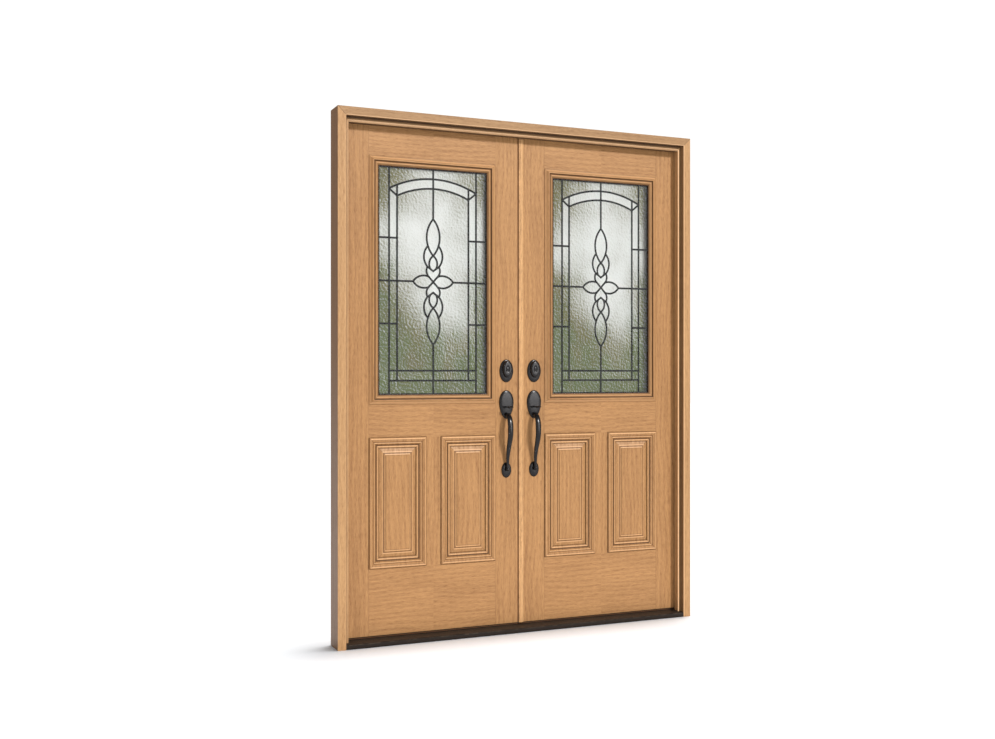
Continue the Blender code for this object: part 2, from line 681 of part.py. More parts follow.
def turned_mesh(name, profile, steps):
    """A profile of (radius, height) points turned about Z, from the top's centre down its outer side."""
    bm = bmesh.new()
    verts = [bm.verts.new((radius, 0.0, height)) for radius, height in profile]
    for first, second in zip(verts, verts[1:]):
        bm.edges.new((first, second))
    obj = bpy.data.objects.new(name + "_turned", mesh_from(bm, name + "_turned"))
    CUTTERS.objects.link(obj)
    screw = obj.modifiers.new("turn", "SCREW")
    screw.steps = steps
    screw.render_steps = steps
    screw.use_merge_vertices = True
    screw.merge_threshold = 0.0000001
    bpy.context.view_layer.update()
    graph = bpy.context.evaluated_depsgraph_get()
    mesh = bpy.data.meshes.new_from_object(obj.evaluated_get(graph))
    bpy.data.objects.remove(obj)
    bm = bmesh.new()
    bm.from_mesh(mesh)
    bmesh.ops.remove_doubles(bm, verts=bm.verts, dist=0.0000001)
    bmesh.ops.recalc_face_normals(bm, faces=bm.faces)
    bm.to_mesh(mesh)
    bm.free()
    mesh.name = name
    return mesh


def oval(name, size, profile, place, outward, taper=0.0):
    """An oval turned piece: radii are shares of the half width and half height, heights are real.

    outward is -1 for the outside face of a leaf and 1 for the inside face. taper narrows the foot
    and widens the head by this share, which makes the oval egg-shaped.
    """
    mesh = turned_mesh(name, profile, ROSE_STEPS)
    up = -outward
    for vertex in mesh.vertices:
        vertex.co.x *= 1 + taper * up * -vertex.co.y
    turn = Matrix.Rotation(-outward * pi / 2, 4, "X")
    spread = Matrix.Diagonal((size[0] / 2, size[1] / 2, 1.0, 1.0))
    mesh.transform(Matrix.Translation(place) @ turn @ spread)
    smooth(mesh)
    return mesh


def smooth(mesh, angle=pi / 6):
    mesh.shade_smooth()
    mesh.set_sharp_from_angle(angle=angle)


def dome(proud):
    """A low dome with a turned rim, from its centre out and down to its seat."""
    return (
        (0.0, proud),
        (0.60, 0.94 * proud),
        (0.88, 0.72 * proud),
        (1.0, 0.36 * proud),
        (1.0, CONTACT_GAP),
        (0.0, CONTACT_GAP),
    )


def face_place(side, outward, height):
    """The middle of a piece of lock furniture on a leaf's face."""
    y = SLAB_FRONT if outward < 0 else BACK
    return (side * FURNITURE_X, y, height)


def joined(name, meshes, material, parent, origin=(0.0, 0.0, 0.0)):
    """One solid from meshes in world space that reach into each other."""
    base = add_node(name, meshes[0], material, parent=parent)
    for number, mesh in enumerate(meshes[1:]):
        tool = bpy.data.objects.new(f"{name}_add_{number}", mesh)
        hide_tool(tool)
        union = base.modifiers.new(f"add_{number}", "BOOLEAN")
        union.operation = "UNION"
        union.solver = "EXACT"
        union.object = tool
    return base


def moved_origin(obj, origin, parent):
    """Puts the object's origin on its joint's axis, leaving its shape where it is."""
    obj.data.transform(Matrix.Translation(-Vector(origin)))
    obj.location = origin
    if parent:
        ride_on(obj, parent)


def deadbolt(name, side, parent):
    """The outside deadbolt: an oval rose with a raised oval cylinder guard nearer its top."""
    rose = oval(name, DEADBOLT_ROSE, dome(ROSE_PROUD), face_place(side, -1, DEADBOLT_HEIGHT), -1)
    guard = (
        (0.0, DEADBOLT_CAP_PROUD),
        (0.76, 0.98 * DEADBOLT_CAP_PROUD),
        (0.86, 0.88 * DEADBOLT_CAP_PROUD),
        (1.0, 0.30 * DEADBOLT_CAP_PROUD),
        (1.0, 0.12 * DEADBOLT_CAP_PROUD),
        (0.0, 0.12 * DEADBOLT_CAP_PROUD),
    )
    place = face_place(side, -1, DEADBOLT_HEIGHT + DEADBOLT_CAP_RISE)
    cap = oval(name + "_guard", DEADBOLT_CAP, guard, place, -1)
    return joined(name, [rose, cap], "dark_bronze", parent)


def grip_mesh(name, side):
    """The bowed grip as a tube of changing thickness, ending in a ball over the lower rose."""
    section = flat_curve(name + "_section", [ellipse(GRIP_FLATNESS, 1.0, GRIP_SIDES)], 0.0)
    section.fill_mode = "NONE"
    section_object = bpy.data.objects.new(name + "_section", section)
    CUTTERS.objects.link(section_object)
    curve = bpy.data.curves.new(name, "CURVE")
    curve.dimensions = "3D"
    curve.bevel_mode = "OBJECT"
    curve.bevel_object = section_object
    curve.use_fill_caps = True
    curve.resolution_u = 2
    spline = curve.splines.new("NURBS")
    spline.points.add(len(GRIP_PATH) - 1)
    for point, (drop, proud, radius) in zip(spline.points, GRIP_PATH):
        point.co = (side * FURNITURE_X, SLAB_FRONT - proud, HANDLE_HEIGHT - drop, 1.0)
        point.radius = radius
    spline.order_u = 3
    spline.use_endpoint_u = True
    holder = bpy.data.objects.new(name, curve)
    CUTTERS.objects.link(holder)
    mesh = welded(holder)
    bpy.data.objects.remove(section_object)
    smooth(mesh)
    return mesh


def ellipse(half_width, half_height, sides):
    angles = np.linspace(0.0, 2 * pi, sides, endpoint=False)
    return [(half_width * cos(a), half_height * sin(a)) for a in angles]


def ball_mesh(name, centre, radius):
    bm = bmesh.new()
    bmesh.ops.create_uvsphere(bm, u_segments=10, v_segments=5, radius=radius)
    bmesh.ops.translate(bm, verts=bm.verts, vec=centre)
    return mesh_from(bm, name)


def handle(name, side, parent):
    """The cast handle: its plate, slotted for the thumb piece, its bowed grip and the ball at its foot."""
    place = face_place(side, -1, HANDLE_HEIGHT)
    plate = oval(name, HANDLE_ROSE, dome(ROSE_PROUD), place, -1, HANDLE_TAPER)
    ball_y = SLAB_FRONT - LOWER_ROSE_PROUD - CONTACT_GAP - GRIP_BALL_RADIUS
    ball_place = (side * FURNITURE_X, ball_y, HANDLE_HEIGHT - GRIP_BALL_DROP)
    ball = ball_mesh(name + "_ball", ball_place, GRIP_BALL_RADIUS)
    obj = joined(name, [plate, grip_mesh(name + "_grip", side), ball], "dark_bronze", parent)
    half = THUMB_NECK / 2 + THUMB_SLOT_CLEARANCE
    rise = THUMB_THICKNESS / 2 + THUMB_SLOT_CLEARANCE
    low = (side * FURNITURE_X - half, SLAB_FRONT - 2 * ROSE_PROUD, THUMB_HEIGHT - rise)
    high = (side * FURNITURE_X + half, SLAB_FRONT, THUMB_HEIGHT + rise)
    cut(obj, cutter(name + "_slot", low, high))
    return obj


def thumb_piece(name, side, parent):
    """The cupped thumb piece, its origin on its pivot in the handle's plate.

    Cross sections are lofted from the root out: a flat neck that widens into a rest whose
    sides turn up and whose end turns down.
    """
    pivot = (side * FURNITURE_X, SLAB_FRONT - ROSE_PROUD, THUMB_HEIGHT)
    reach = np.array([-THUMB_ROOT / THUMB_REACH, 0.2, 0.36, 0.52, 0.70, 0.88, 1.0])
    flare = np.clip((reach - 0.2) / 0.5, 0.0, 1.0)
    flare = flare * flare * (3 - 2 * flare)
    half = THUMB_NECK / 2 + (THUMB_WIDTH - THUMB_NECK) / 2 * flare
    half *= np.sqrt(np.clip(1 - np.clip((reach - 0.7) / 0.32, 0.0, 1.0) ** 2, 0.0, 1.0))
    across = np.linspace(-1.0, 1.0, 5)
    x = half[:, None] * across
    y = np.repeat(-THUMB_REACH * reach[:, None], len(across), axis=1)
    middle = THUMB_CUP * flare[:, None] * (across**2 - 0.4) - THUMB_DROOP * (flare**2)[:, None]
    bm = bmesh.new()
    layers = []
    for lift in (-THUMB_THICKNESS / 2, THUMB_THICKNESS / 2):
        rows = [[bm.verts.new(p) for p in zip(*row)] for row in zip(x, y, middle + lift)]
        layers.append(rows)
    low, high = layers
    for i in range(len(reach) - 1):
        for j in range(len(across) - 1):
            bm.faces.new((high[i][j], high[i][j + 1], high[i + 1][j + 1], high[i + 1][j]))
            bm.faces.new((low[i][j], low[i + 1][j], low[i + 1][j + 1], low[i][j + 1]))
        bm.faces.new((low[i][0], high[i][0], high[i + 1][0], low[i + 1][0]))
        bm.faces.new((high[i][-1], low[i][-1], low[i + 1][-1], high[i + 1][-1]))
    for j in range(len(across) - 1):
        bm.faces.new((low[0][j], low[0][j + 1], high[0][j + 1], high[0][j]))
        bm.faces.new((low[-1][j + 1], low[-1][j], high[-1][j], high[-1][j + 1]))
    bmesh.ops.recalc_face_normals(bm, faces=bm.faces)
    mesh = mesh_from(bm, name)
    smooth(mesh)
    return add_node(name, mesh, "dark_bronze", origin=pivot, parent=parent)


def knob_profile(base):
    """A round knob on a waisted neck, from the middle of its face back to its seat."""
    reach = KNOB_PROUD - base
    return (
        (0.0, KNOB_PROUD),
        (0.45 * KNOB_RADIUS, KNOB_PROUD - 0.03 * reach),
        (0.80 * KNOB_RADIUS, KNOB_PROUD - 0.14 * reach),
        (KNOB_RADIUS, KNOB_PROUD - 0.34 * reach),
        (0.86 * KNOB_RADIUS, KNOB_PROUD - 0.52 * reach),
        (KNOB_NECK_RADIUS, KNOB_PROUD - 0.66 * reach),
        (KNOB_NECK_RADIUS, base + 0.12 * reach),
        (1.25 * KNOB_NECK_RADIUS, base),
        (0.0, base),
    )


def inside_knob_mesh(name, side, base):
    mesh = turned_mesh(name, knob_profile(base), ROSE_STEPS)
    turn = Matrix.Rotation(-pi / 2, 4, "X")
    mesh.transform(Matrix.Translation(face_place(side, 1, INSIDE_KNOB_HEIGHT)) @ turn)
    smooth(mesh)
    return mesh


def turn_meshes(name, side, base):
    """The thumb turn: a short stem and an oval finger plate."""
    x, y, z = face_place(side, 1, DEADBOLT_HEIGHT)
    stem_profile = ((0.0, TURN_PROUD * 0.7), (0.006, TURN_PROUD * 0.7), (0.0085, base), (0.0, base))
    stem = turned_mesh(name + "_stem", stem_profile, ROSE_STEPS // 2)
    stem.transform(Matrix.Translation((x, y, z)) @ Matrix.Rotation(-pi / 2, 4, "X"))
    middle = y + (base + 0.004 + TURN_PROUD) / 2
    radius = (TURN_PROUD - base - 0.004) / 2
    outline = [
        (radius * sin(a), TURN_LENGTH / 2 * cos(a)) for a in np.linspace(0, 2 * pi, 16, endpoint=False)
    ]
    curve = flat_curve(name + "_plate", [outline], TURN_THICKNESS)
    holder = bpy.data.objects.new(name + "_plate", curve)
    CUTTERS.objects.link(holder)
    holder.matrix_world = Matrix.Translation((x, middle, z)) @ Matrix(
        ((0, 0, 1, 0), (1, 0, 0, 0), (0, 1, 0, 0), (0, 0, 0, 1))
    )
    return [stem, welded(holder)]


def lock_furniture(word, side, parent):
    """Both faces of a leaf. The right leaf's knob and turn are fixed, each one piece with its rose."""
    deadbolt(f"{word}_deadbolt", side, parent)
    handle(f"{word}_handle", side, parent)
    thumb_piece(f"{word}_thumb_piece", side, parent)
    low = face_place(side, -1, LOWER_ROSE_HEIGHT)
    rose = oval(f"{word}_lower_rose", LOWER_ROSE, dome(LOWER_ROSE_PROUD), low, -1)
    add_node(f"{word}_lower_rose", rose, "dark_bronze", parent=parent)
    at_knob = face_place(side, 1, INSIDE_KNOB_HEIGHT)
    knob_rose = oval(f"{word}_inside_rose", INSIDE_ROSE, dome(ROSE_PROUD), at_knob, 1)
    at_turn = face_place(side, 1, DEADBOLT_HEIGHT)
    turn_rose = oval(f"{word}_inside_deadbolt_rose", DEADBOLT_ROSE, dome(ROSE_PROUD), at_turn, 1)
    if word == "left":
        base = ROSE_PROUD + CONTACT_GAP
        add_node("left_inside_rose", knob_rose, "dark_bronze", parent=parent)
        add_node("left_inside_deadbolt_rose", turn_rose, "dark_bronze", parent=parent)
        knob = add_node("left_inside_knob", inside_knob_mesh("left_inside_knob", side, base), "dark_bronze")
        moved_origin(knob, face_place(side, 1, INSIDE_KNOB_HEIGHT), parent)
        turn = joined("left_thumb_turn", turn_meshes("left_thumb_turn", side, base), "dark_bronze", None)
        turn_axis = joint_empty("left_thumb_turn_axis", face_place(side, 1, DEADBOLT_HEIGHT))
        ride_on(turn_axis, parent)
        ride_on(turn, turn_axis)
        return
    base = ROSE_PROUD / 2
    knob = inside_knob_mesh("right_inside_knob", side, base)
    joined("right_inside_knob", [knob_rose, knob], "dark_bronze", parent)
    turn = turn_meshes("right_thumb_turn", side, base)
    joined("right_thumb_turn", [turn_rose] + turn, "dark_bronze", parent)


def knuckle_mesh(name, side, low, high, radius):
    bm = bmesh.new()
    matrix = Matrix.Translation((side * HINGE_X, HINGE_Y, (low + high) / 2))
    bmesh.ops.create_cone(
        bm,
        cap_ends=True,
        segments=KNUCKLE_SIDES,
        radius1=radius,
        radius2=radius,
        depth=high - low,
        matrix=matrix,
    )
    return mesh_from(bm, name)


def hinge_leaf(name, side, face_x, into, height, tabs):
    """A hinge leaf let into the wood beside face_x, with a tab to each of its knuckles.

    into is 1 towards the jamb and -1 towards the slab. tabs holds each tab's lower and upper height.
    """
    near = BACK - HINGE_LEAF_REACH
    top = height + HINGE_LENGTH / 2
    outline = [(near, height - HINGE_LENGTH / 2), (BACK, height - HINGE_LENGTH / 2)]
    for low, high in tabs:
        shoulders = (low + CONTACT_GAP, high - CONTACT_GAP)
        outline += [(BACK, shoulders[0]), (HINGE_Y, shoulders[0])]
        outline += [(HINGE_Y, shoulders[1]), (BACK, shoulders[1])]
    outline += [(BACK, top), (near, top)]
    ends = sorted((face_x, face_x + side * into * HINGE_LEAF_THICKNESS))
    return prism_mesh(name, outline, ends[0], ends[1], "X")


def mortise(obj, name, side, face_x, into, height):
    """The recess that a hinge leaf is let into."""
    deep = HINGE_LEAF_THICKNESS + CONTACT_GAP
    xs = sorted((face_x - side * into * deep, face_x + side * into * deep))
    low = (xs[0], BACK - HINGE_LEAF_REACH - CONTACT_GAP, height - HINGE_LENGTH / 2 - CONTACT_GAP)
    high = (xs[1], BACK + HINGE_LEAF_REACH, height + HINGE_LENGTH / 2 + CONTACT_GAP)
    cut(obj, cutter(name, low, high))


def hinge(word, side, number, height, jamb, leaf_slab, parent):
    """A butt hinge. The frame half has the end knuckles and the pin, the leaf half the middle knuckle."""
    third = HINGE_LENGTH / 3
    bottom = height - HINGE_LENGTH / 2
    top = height + HINGE_LENGTH / 2
    name = f"{word}_frame_hinge_{number}"
    ends = ((bottom, bottom + third - CONTACT_GAP), (top - third + CONTACT_GAP, top))
    plate = hinge_leaf(name, side, side * REBATE_HALF_WIDTH, 1, height, ends)
    lower = knuckle_mesh(name + "_low", side, ends[0][0], ends[0][1], KNUCKLE_RADIUS)
    upper = knuckle_mesh(name + "_high", side, ends[1][0], ends[1][1], KNUCKLE_RADIUS)
    pin = knuckle_mesh(name + "_pin", side, bottom - PIN_HEAD, top + PIN_HEAD, PIN_RADIUS)
    obj = joined(name, [plate, lower, upper, pin], "hinge_bronze", None)
    mortise(jamb, name + "_mortise", side, side * REBATE_HALF_WIDTH, 1, height)

    leaf_name = f"{word}_leaf_hinge_{number}"
    span = (bottom + third, top - third)
    plate = hinge_leaf(leaf_name, side, side * SLAB_OUTER_X, -1, height, (span,))
    middle = knuckle_mesh(leaf_name + "_middle", side, span[0], span[1], KNUCKLE_RADIUS)
    leaf_half = joined(leaf_name, [plate, middle], "hinge_bronze", parent)
    bore = bpy.data.objects.new(
        leaf_name + "_bore",
        knuckle_mesh(leaf_name + "_bore", side, bottom - third, top + third, PIN_RADIUS + PIN_CLEARANCE),
    )
    hide_tool(bore)
    cut(leaf_half, bore)
    mortise(leaf_slab, leaf_name + "_mortise", side, side * SLAB_OUTER_X, -1, height)
    return obj


def edge_plate(name, x, towards, height, size, holes, parent):
    """A lock plate let into an edge. towards is the way that its face looks along X."""
    outline = rounded_rectangle(size[0], size[1], PLATE_CORNER)
    outlines = [outline]
    for offset in holes:
        hole = rounded_rectangle(STRIKE_HOLE[0], STRIKE_HOLE[1], PLATE_CORNER / 3, 1)
        outlines.append([(px, py + offset) for px, py in hole])
    curve = flat_curve(name + "_outline", outlines, EDGE_PLATE_THICKNESS)
    holder = bpy.data.objects.new(name + "_outline", curve)
    CUTTERS.objects.link(holder)
    middle = (x - towards * EDGE_PLATE_THICKNESS / 2, (SLAB_FRONT + BACK) / 2, height)
    holder.matrix_world = Matrix.Translation(middle) @ Matrix(
        ((0, 0, 1, 0), (1, 0, 0, 0), (0, 1, 0, 0), (0, 0, 0, 1))
    )
    return add_node(name, welded(holder), "plate_bronze", parent=parent)


def plate_mortise(obj, name, x, towards, height, size):
    xs = sorted((x + towards * EDGE_PLATE_THICKNESS, x - towards * (EDGE_PLATE_THICKNESS + CONTACT_GAP)))
    y = (SLAB_FRONT + BACK) / 2
    low = (xs[0], y - size[0] / 2 - CONTACT_GAP, height - size[1] / 2 - CONTACT_GAP)
    high = (xs[1], y + size[0] / 2 + CONTACT_GAP, height + size[1] / 2 + CONTACT_GAP)
    cut(obj, cutter(name, low, high))


def casings():
    """Flat casings, mitred where the legs meet the head."""
    half_gap = CONTACT_GAP / 2
    outer, inner = HALF_WIDTH, HALF_WIDTH - CASING_WIDTH
    top, under = UNIT_HEIGHT, UNIT_HEIGHT - CASING_WIDTH
    for word, side in SIDES:
        leg = [(side * outer, 0.0), (side * outer, top - half_gap)]
        leg += [(side * inner, under - half_gap), (side * inner, 0.0)]
        prism(f"{word}_casing", leg, FRONT, FRONT + CASING_THICKNESS, "Y", "oak_casing")
    head = [
        (-outer + half_gap, top),
        (-inner + half_gap, under),
        (inner - half_gap, under),
        (outer - half_gap, top),
    ]
    prism("head_casing", head, FRONT, FRONT + CASING_THICKNESS, "Y", "oak_casing")


def kerf_middle():
    """How far in from a jamb's back the kerf lies, measured from the rebate's face."""
    return STOP_PROJECTION - SEAL_SETBACK - SEAL_WIDTH / 2


def jambs():
    """Side jambs with a stop and a kerf, and a head jamb between them."""
    front = FRONT + CASING_THICKNESS + CONTACT_GAP
    kerf = kerf_middle()
    made = {}
    for word, side in SIDES:
        section = [
            (HALF_WIDTH, front),
            (HALF_WIDTH - STOP_REACH, front),
            (HALF_WIDTH - STOP_REACH, STOP_BACK),
            (REBATE_HALF_WIDTH - kerf - KERF_WIDTH / 2, STOP_BACK),
            (REBATE_HALF_WIDTH - kerf - KERF_WIDTH / 2, STOP_BACK - KERF_DEPTH),
            (REBATE_HALF_WIDTH - kerf + KERF_WIDTH / 2, STOP_BACK - KERF_DEPTH),
            (REBATE_HALF_WIDTH - kerf + KERF_WIDTH / 2, STOP_BACK),
            (REBATE_HALF_WIDTH, STOP_BACK),
            (REBATE_HALF_WIDTH, BACK),
            (HALF_WIDTH, BACK),
        ]
        outline = [(side * x, y) for x, y in section]
        made[word] = prism(f"{word}_jamb", outline, 0.0, UNIT_HEIGHT, "Z", "oak_casing")
    narrow = HALF_WIDTH - STOP_REACH - CONTACT_GAP
    wide = REBATE_HALF_WIDTH - CONTACT_GAP
    section = [
        (front, UNIT_HEIGHT),
        (front, HEAD_STOP_BOTTOM),
        (STOP_BACK, HEAD_STOP_BOTTOM),
        (STOP_BACK, REBATE_TOP - kerf - KERF_WIDTH / 2),
        (STOP_BACK - KERF_DEPTH, REBATE_TOP - kerf - KERF_WIDTH / 2),
        (STOP_BACK - KERF_DEPTH, REBATE_TOP - kerf + KERF_WIDTH / 2),
        (STOP_BACK, REBATE_TOP - kerf + KERF_WIDTH / 2),
        (STOP_BACK, REBATE_TOP),
        (BACK, REBATE_TOP),
        (BACK, UNIT_HEIGHT),
    ]
    head = prism("head_jamb", section, -wide, wide, "X", "oak_casing")
    for word, side in SIDES:
        xs = sorted((side * narrow, side * HALF_WIDTH))
        low = (xs[0], FRONT, HEAD_STOP_BOTTOM - HEAD_THICKNESS)
        high = (xs[1], STOP_BACK + CONTACT_GAP, UNIT_HEIGHT + HEAD_THICKNESS)
        cut(head, cutter(f"head_{word}_stop_notch", low, high))
    return made


def seal_section():
    """A kerf seal: its fin and its round-backed cushion. (distance from the rebate's face, depth)."""
    kerf = kerf_middle()
    fin = KERF_WIDTH / 2 - CONTACT_GAP
    near = STOP_PROJECTION - SEAL_SETBACK
    far = near - SEAL_WIDTH
    start = STOP_BACK + CONTACT_GAP
    end = SLAB_FRONT - CONTACT_GAP
    round_at = start + (end - start) * 0.5
    return [
        (near, start),
        (near, round_at),
        (near - SEAL_WIDTH * 0.2, end),
        (far + SEAL_WIDTH * 0.2, end),
        (far, round_at),
        (far, start),
        (kerf - fin, start),
        (kerf - fin, STOP_BACK - KERF_DEPTH + CONTACT_GAP),
        (kerf + fin, STOP_BACK - KERF_DEPTH + CONTACT_GAP),
        (kerf + fin, start),
    ]


def seals():
    """Weather seals in the side jambs, and one in the head between them."""
    section = seal_section()
    top = REBATE_TOP - CONTACT_GAP
    for word, side in SIDES:
        outline = [(side * (REBATE_HALF_WIDTH - across), y) for across, y in section]
        prism(f"{word}_weather_seal", outline, DECK_HEIGHT + CONTACT_GAP, top, "Z", "seal_rubber")
    outline = [(y, REBATE_TOP - across) for across, y in section]
    reach = REBATE_HALF_WIDTH - STOP_PROJECTION - CONTACT_GAP
    prism("head_weather_seal", outline, -reach, reach, "X", "seal_rubber")


def sill():
    """The sloping sill, notched round the jambs' stops, and the cap under the leaves."""
    nose = FRONT
    back = BACK
    deck_end = FRONT + DECK_DEPTH
    section = [
        (nose + EASED_EDGE, 0.0),
        (back, 0.0),
        (back, CAP_SEAT_HEIGHT),
        (deck_end, CAP_SEAT_HEIGHT),
        (deck_end, DECK_HEIGHT),
        (deck_end - SEAL_SPACE, DECK_HEIGHT),
        (nose + EASED_EDGE, NOSING_HEIGHT),
        (nose, NOSING_HEIGHT - EASED_EDGE / 2),
        (nose, EASED_EDGE),
    ]
    reach = HALF_WIDTH - CASING_WIDTH - CONTACT_GAP
    obj = prism("sill", section, -reach, reach, "X", "sill_bronze")
    stop = HALF_WIDTH - STOP_REACH - CONTACT_GAP
    jamb = REBATE_HALF_WIDTH - CONTACT_GAP
    for word, side in SIDES:
        xs = sorted((side * stop, side * HALF_WIDTH))
        low = (xs[0], FRONT + CASING_THICKNESS, -DECK_HEIGHT)
        high = (xs[1], STOP_BACK + CONTACT_GAP, 2 * DECK_HEIGHT)
        cut(obj, cutter(f"sill_{word}_stop_notch", low, high))
        xs = sorted((side * jamb, side * HALF_WIDTH))
        low = (xs[0], STOP_BACK, -DECK_HEIGHT)
        high = (xs[1], BACK + DECK_HEIGHT, 2 * DECK_HEIGHT)
        cut(obj, cutter(f"sill_{word}_jamb_notch", low, high))
    front = deck_end + CONTACT_GAP
    foot = CAP_SEAT_HEIGHT + CONTACT_GAP
    cap = [
        (front, foot),
        (back, foot),
        (back, CAP_TOP_HEIGHT - EASED_EDGE),
        (back - EASED_EDGE, CAP_TOP_HEIGHT),
        (front + EASED_EDGE, CAP_TOP_HEIGHT),
        (front, CAP_TOP_HEIGHT - EASED_EDGE),
    ]
    prism("sill_cap", cap, -jamb, jamb, "X", "sill_cap")


def sweep(word, side, parent):
    """The finned sweep under a leaf."""
    top = SLAB_FOOT_HEIGHT - CONTACT_GAP
    web = top - (SWEEP_HEIGHT - SWEEP_FIN)
    foot = top - SWEEP_HEIGHT
    start = SLAB_FRONT + 2 * EASED_EDGE
    end = BACK - 2 * EASED_EDGE
    fins = np.linspace(start, end - EASED_EDGE, 4)
    outline = [(start, top)]
    for fin in fins:
        outline += [(fin, web), (fin + EASED_EDGE / 4, foot)]
        outline += [(fin + EASED_EDGE / 2, foot), (fin + EASED_EDGE, web)]
    outline = outline[:1] + outline[2:-1] + [(end, web), (end, top)]
    xs = sorted((side * (SLAB_LOCK_X + EASED_EDGE), side * (SLAB_OUTER_X - EASED_EDGE)))
    prism(f"{word}_sweep", outline, xs[0], xs[1], "X", "seal_rubber", parent)


def astragal(parent):
    """The astragal on the right leaf's edge: a long moulding that stands proud of both leaves."""
    left = ASTRAGAL_X
    right = SLAB_LOCK_X - CONTACT_GAP
    width = right - left
    face = SLAB_FRONT - ASTRAGAL_PROUD
    seat = SLAB_FRONT - CONTACT_GAP
    quirk = left + ASTRAGAL_FLAT / 2
    section = [
        (left, BACK),
        (left, face + ASTRAGAL_ROUNDING),
        (left + ASTRAGAL_ROUNDING, face),
        (quirk - 1.5 * ASTRAGAL_QUIRK, face),
        (quirk - ASTRAGAL_QUIRK, face + ASTRAGAL_QUIRK),
        (quirk - ASTRAGAL_QUIRK / 2, face + ASTRAGAL_QUIRK),
        (quirk, face),
        (left + ASTRAGAL_FLAT, face),
        (SLAB_LOCK_X + ASTRAGAL_OVERLAP, seat - CONTACT_GAP),
        (SLAB_LOCK_X + ASTRAGAL_OVERLAP, seat),
        (right, seat),
        (right, BACK),
    ]
    obj = prism("astragal", section, SLAB_FOOT_HEIGHT, SLAB_TOP_HEIGHT, "Z", "oak_skin", parent)
    low = (left - width, face - width, HEAD_STOP_BOTTOM - ASTRAGAL_TOP_CLEARANCE)
    high = (right + width, SLAB_FRONT, UNIT_HEIGHT)
    cut(obj, cutter("astragal_top_notch", low, high))
    seal_front = SLAB_FRONT + ASTRAGAL_SEAL_DEPTH
    seal_face = left - CONTACT_GAP
    low = (seal_face - ASTRAGAL_SEAL_THICKNESS, seal_front, SLAB_FOOT_HEIGHT)
    high = (seal_face, seal_front + ASTRAGAL_SEAL_WIDTH, SLAB_TOP_HEIGHT)
    box("astragal_seal", low, high, "seal_rubber", parent)
    return obj


def glazing(word, side, parent):
    """The sealed glass unit and the two moulded frames that hold it in the cut-out."""
    centre = side * LEAF_CENTRE
    half_width = CLEAR_WIDTH / 2 + GLAZING_FRAME_FACE
    half_height = CLEAR_HEIGHT / 2 + GLAZING_FRAME_FACE
    moulded_ring(
        f"{word}_outside_glazing_frame",
        outer_frame_section(),
        half_width,
        half_height,
        SLAB_FRONT,
        1,
        centre,
        "oak_skin",
        parent,
    )
    moulded_ring(
        f"{word}_inside_glazing_frame",
        inner_frame_section(),
        half_width,
        half_height,
        BACK,
        -1,
        centre,
        "oak_skin",
        parent,
    )
    pane(f"{word}_outer_pane", centre, OUTER_PANE_FRONT, CLEAR_PANE, "clear_glass", parent)
    came(f"{word}_came", centre, parent)
    pane(f"{word}_leaded_pane", centre, LEADED_PANE_FRONT, LEADED_PANE, "textured_glass", parent)
    spacer(f"{word}_glass_spacer", centre, parent)
    pane(f"{word}_inner_pane", centre, INNER_PANE_FRONT, CLEAR_PANE, "clear_glass", parent)


def pane(name, centre, front, thickness, material, parent):
    low = (centre - PANE_HALF_WIDTH, front, GLASS_CENTRE_HEIGHT - PANE_HALF_HEIGHT)
    high = (centre + PANE_HALF_WIDTH, front + thickness, GLASS_CENTRE_HEIGHT + PANE_HALF_HEIGHT)
    box(name, low, high, material, parent)


def spacer(name, centre, parent):
    """The ring that holds the leaded pane and the inner pane apart."""
    outer = rectangle(-PANE_HALF_WIDTH, PANE_HALF_WIDTH, -PANE_HALF_HEIGHT, PANE_HALF_HEIGHT)
    inner = inset(outer, SPACER_WIDTH)
    curve = flat_curve(name, [outer, inner], SPACER_THICKNESS)
    obj = add_node(name, curve, "spacer_black")
    obj.rotation_euler = (pi / 2, 0.0, 0.0)
    obj.location = (centre, SPACER_FRONT + SPACER_THICKNESS / 2, GLASS_CENTRE_HEIGHT)
    ride_on(obj, parent)


def leaf(word, side, jamb):
    """One leaf with its glazing, sweep, hinges and lock furniture, hung from its hinge axis."""
    axis = joint_empty(f"{word}_leaf_axis", (side * HINGE_X, HINGE_Y, SLAB_FOOT_HEIGHT))
    leaf_slab = slab(f"{word}_slab", side, axis)
    glazing(word, side, axis)
    sweep(word, side, axis)
    lock_furniture(word, side, axis)
    for number, height in enumerate(HINGE_HEIGHTS, start=1):
        hinge(word, side, number, height, jamb, leaf_slab, axis)
    return leaf_slab, axis


def edge_plates(left_slab, left_axis, astragal_piece, right_axis):
    """The faceplates in the left leaf's edge and the strike in the astragal."""
    x = -SLAB_LOCK_X
    for name, height in (("latch_faceplate", THUMB_HEIGHT), ("deadbolt_faceplate", DEADBOLT_HEIGHT)):
        edge_plate("left_" + name, x, 1, height, FACEPLATE, (), left_axis)
        plate_mortise(left_slab, f"left_{name}_mortise", x, 1, height, FACEPLATE)
    middle = (THUMB_HEIGHT + DEADBOLT_HEIGHT) / 2
    reach = (DEADBOLT_HEIGHT - THUMB_HEIGHT) / 2
    edge_plate("astragal_strike", ASTRAGAL_X, -1, middle, STRIKE, (-reach, reach), right_axis)
    plate_mortise(astragal_piece, "astragal_strike_mortise", ASTRAGAL_X, -1, middle, STRIKE)


def build():
    casings()
    jamb_pieces = jambs()
    seals()
    sill()
    slabs = {word: leaf(word, side, jamb_pieces[word]) for word, side in SIDES}
    left_slab, left_axis = slabs["left"]
    _, right_axis = slabs["right"]
    edge_plates(left_slab, left_axis, astragal(right_axis), right_axis)


clear_scene()
DOOR = new_collection("glazed_double_door")
CUTTERS = new_collection("cutters")
build()
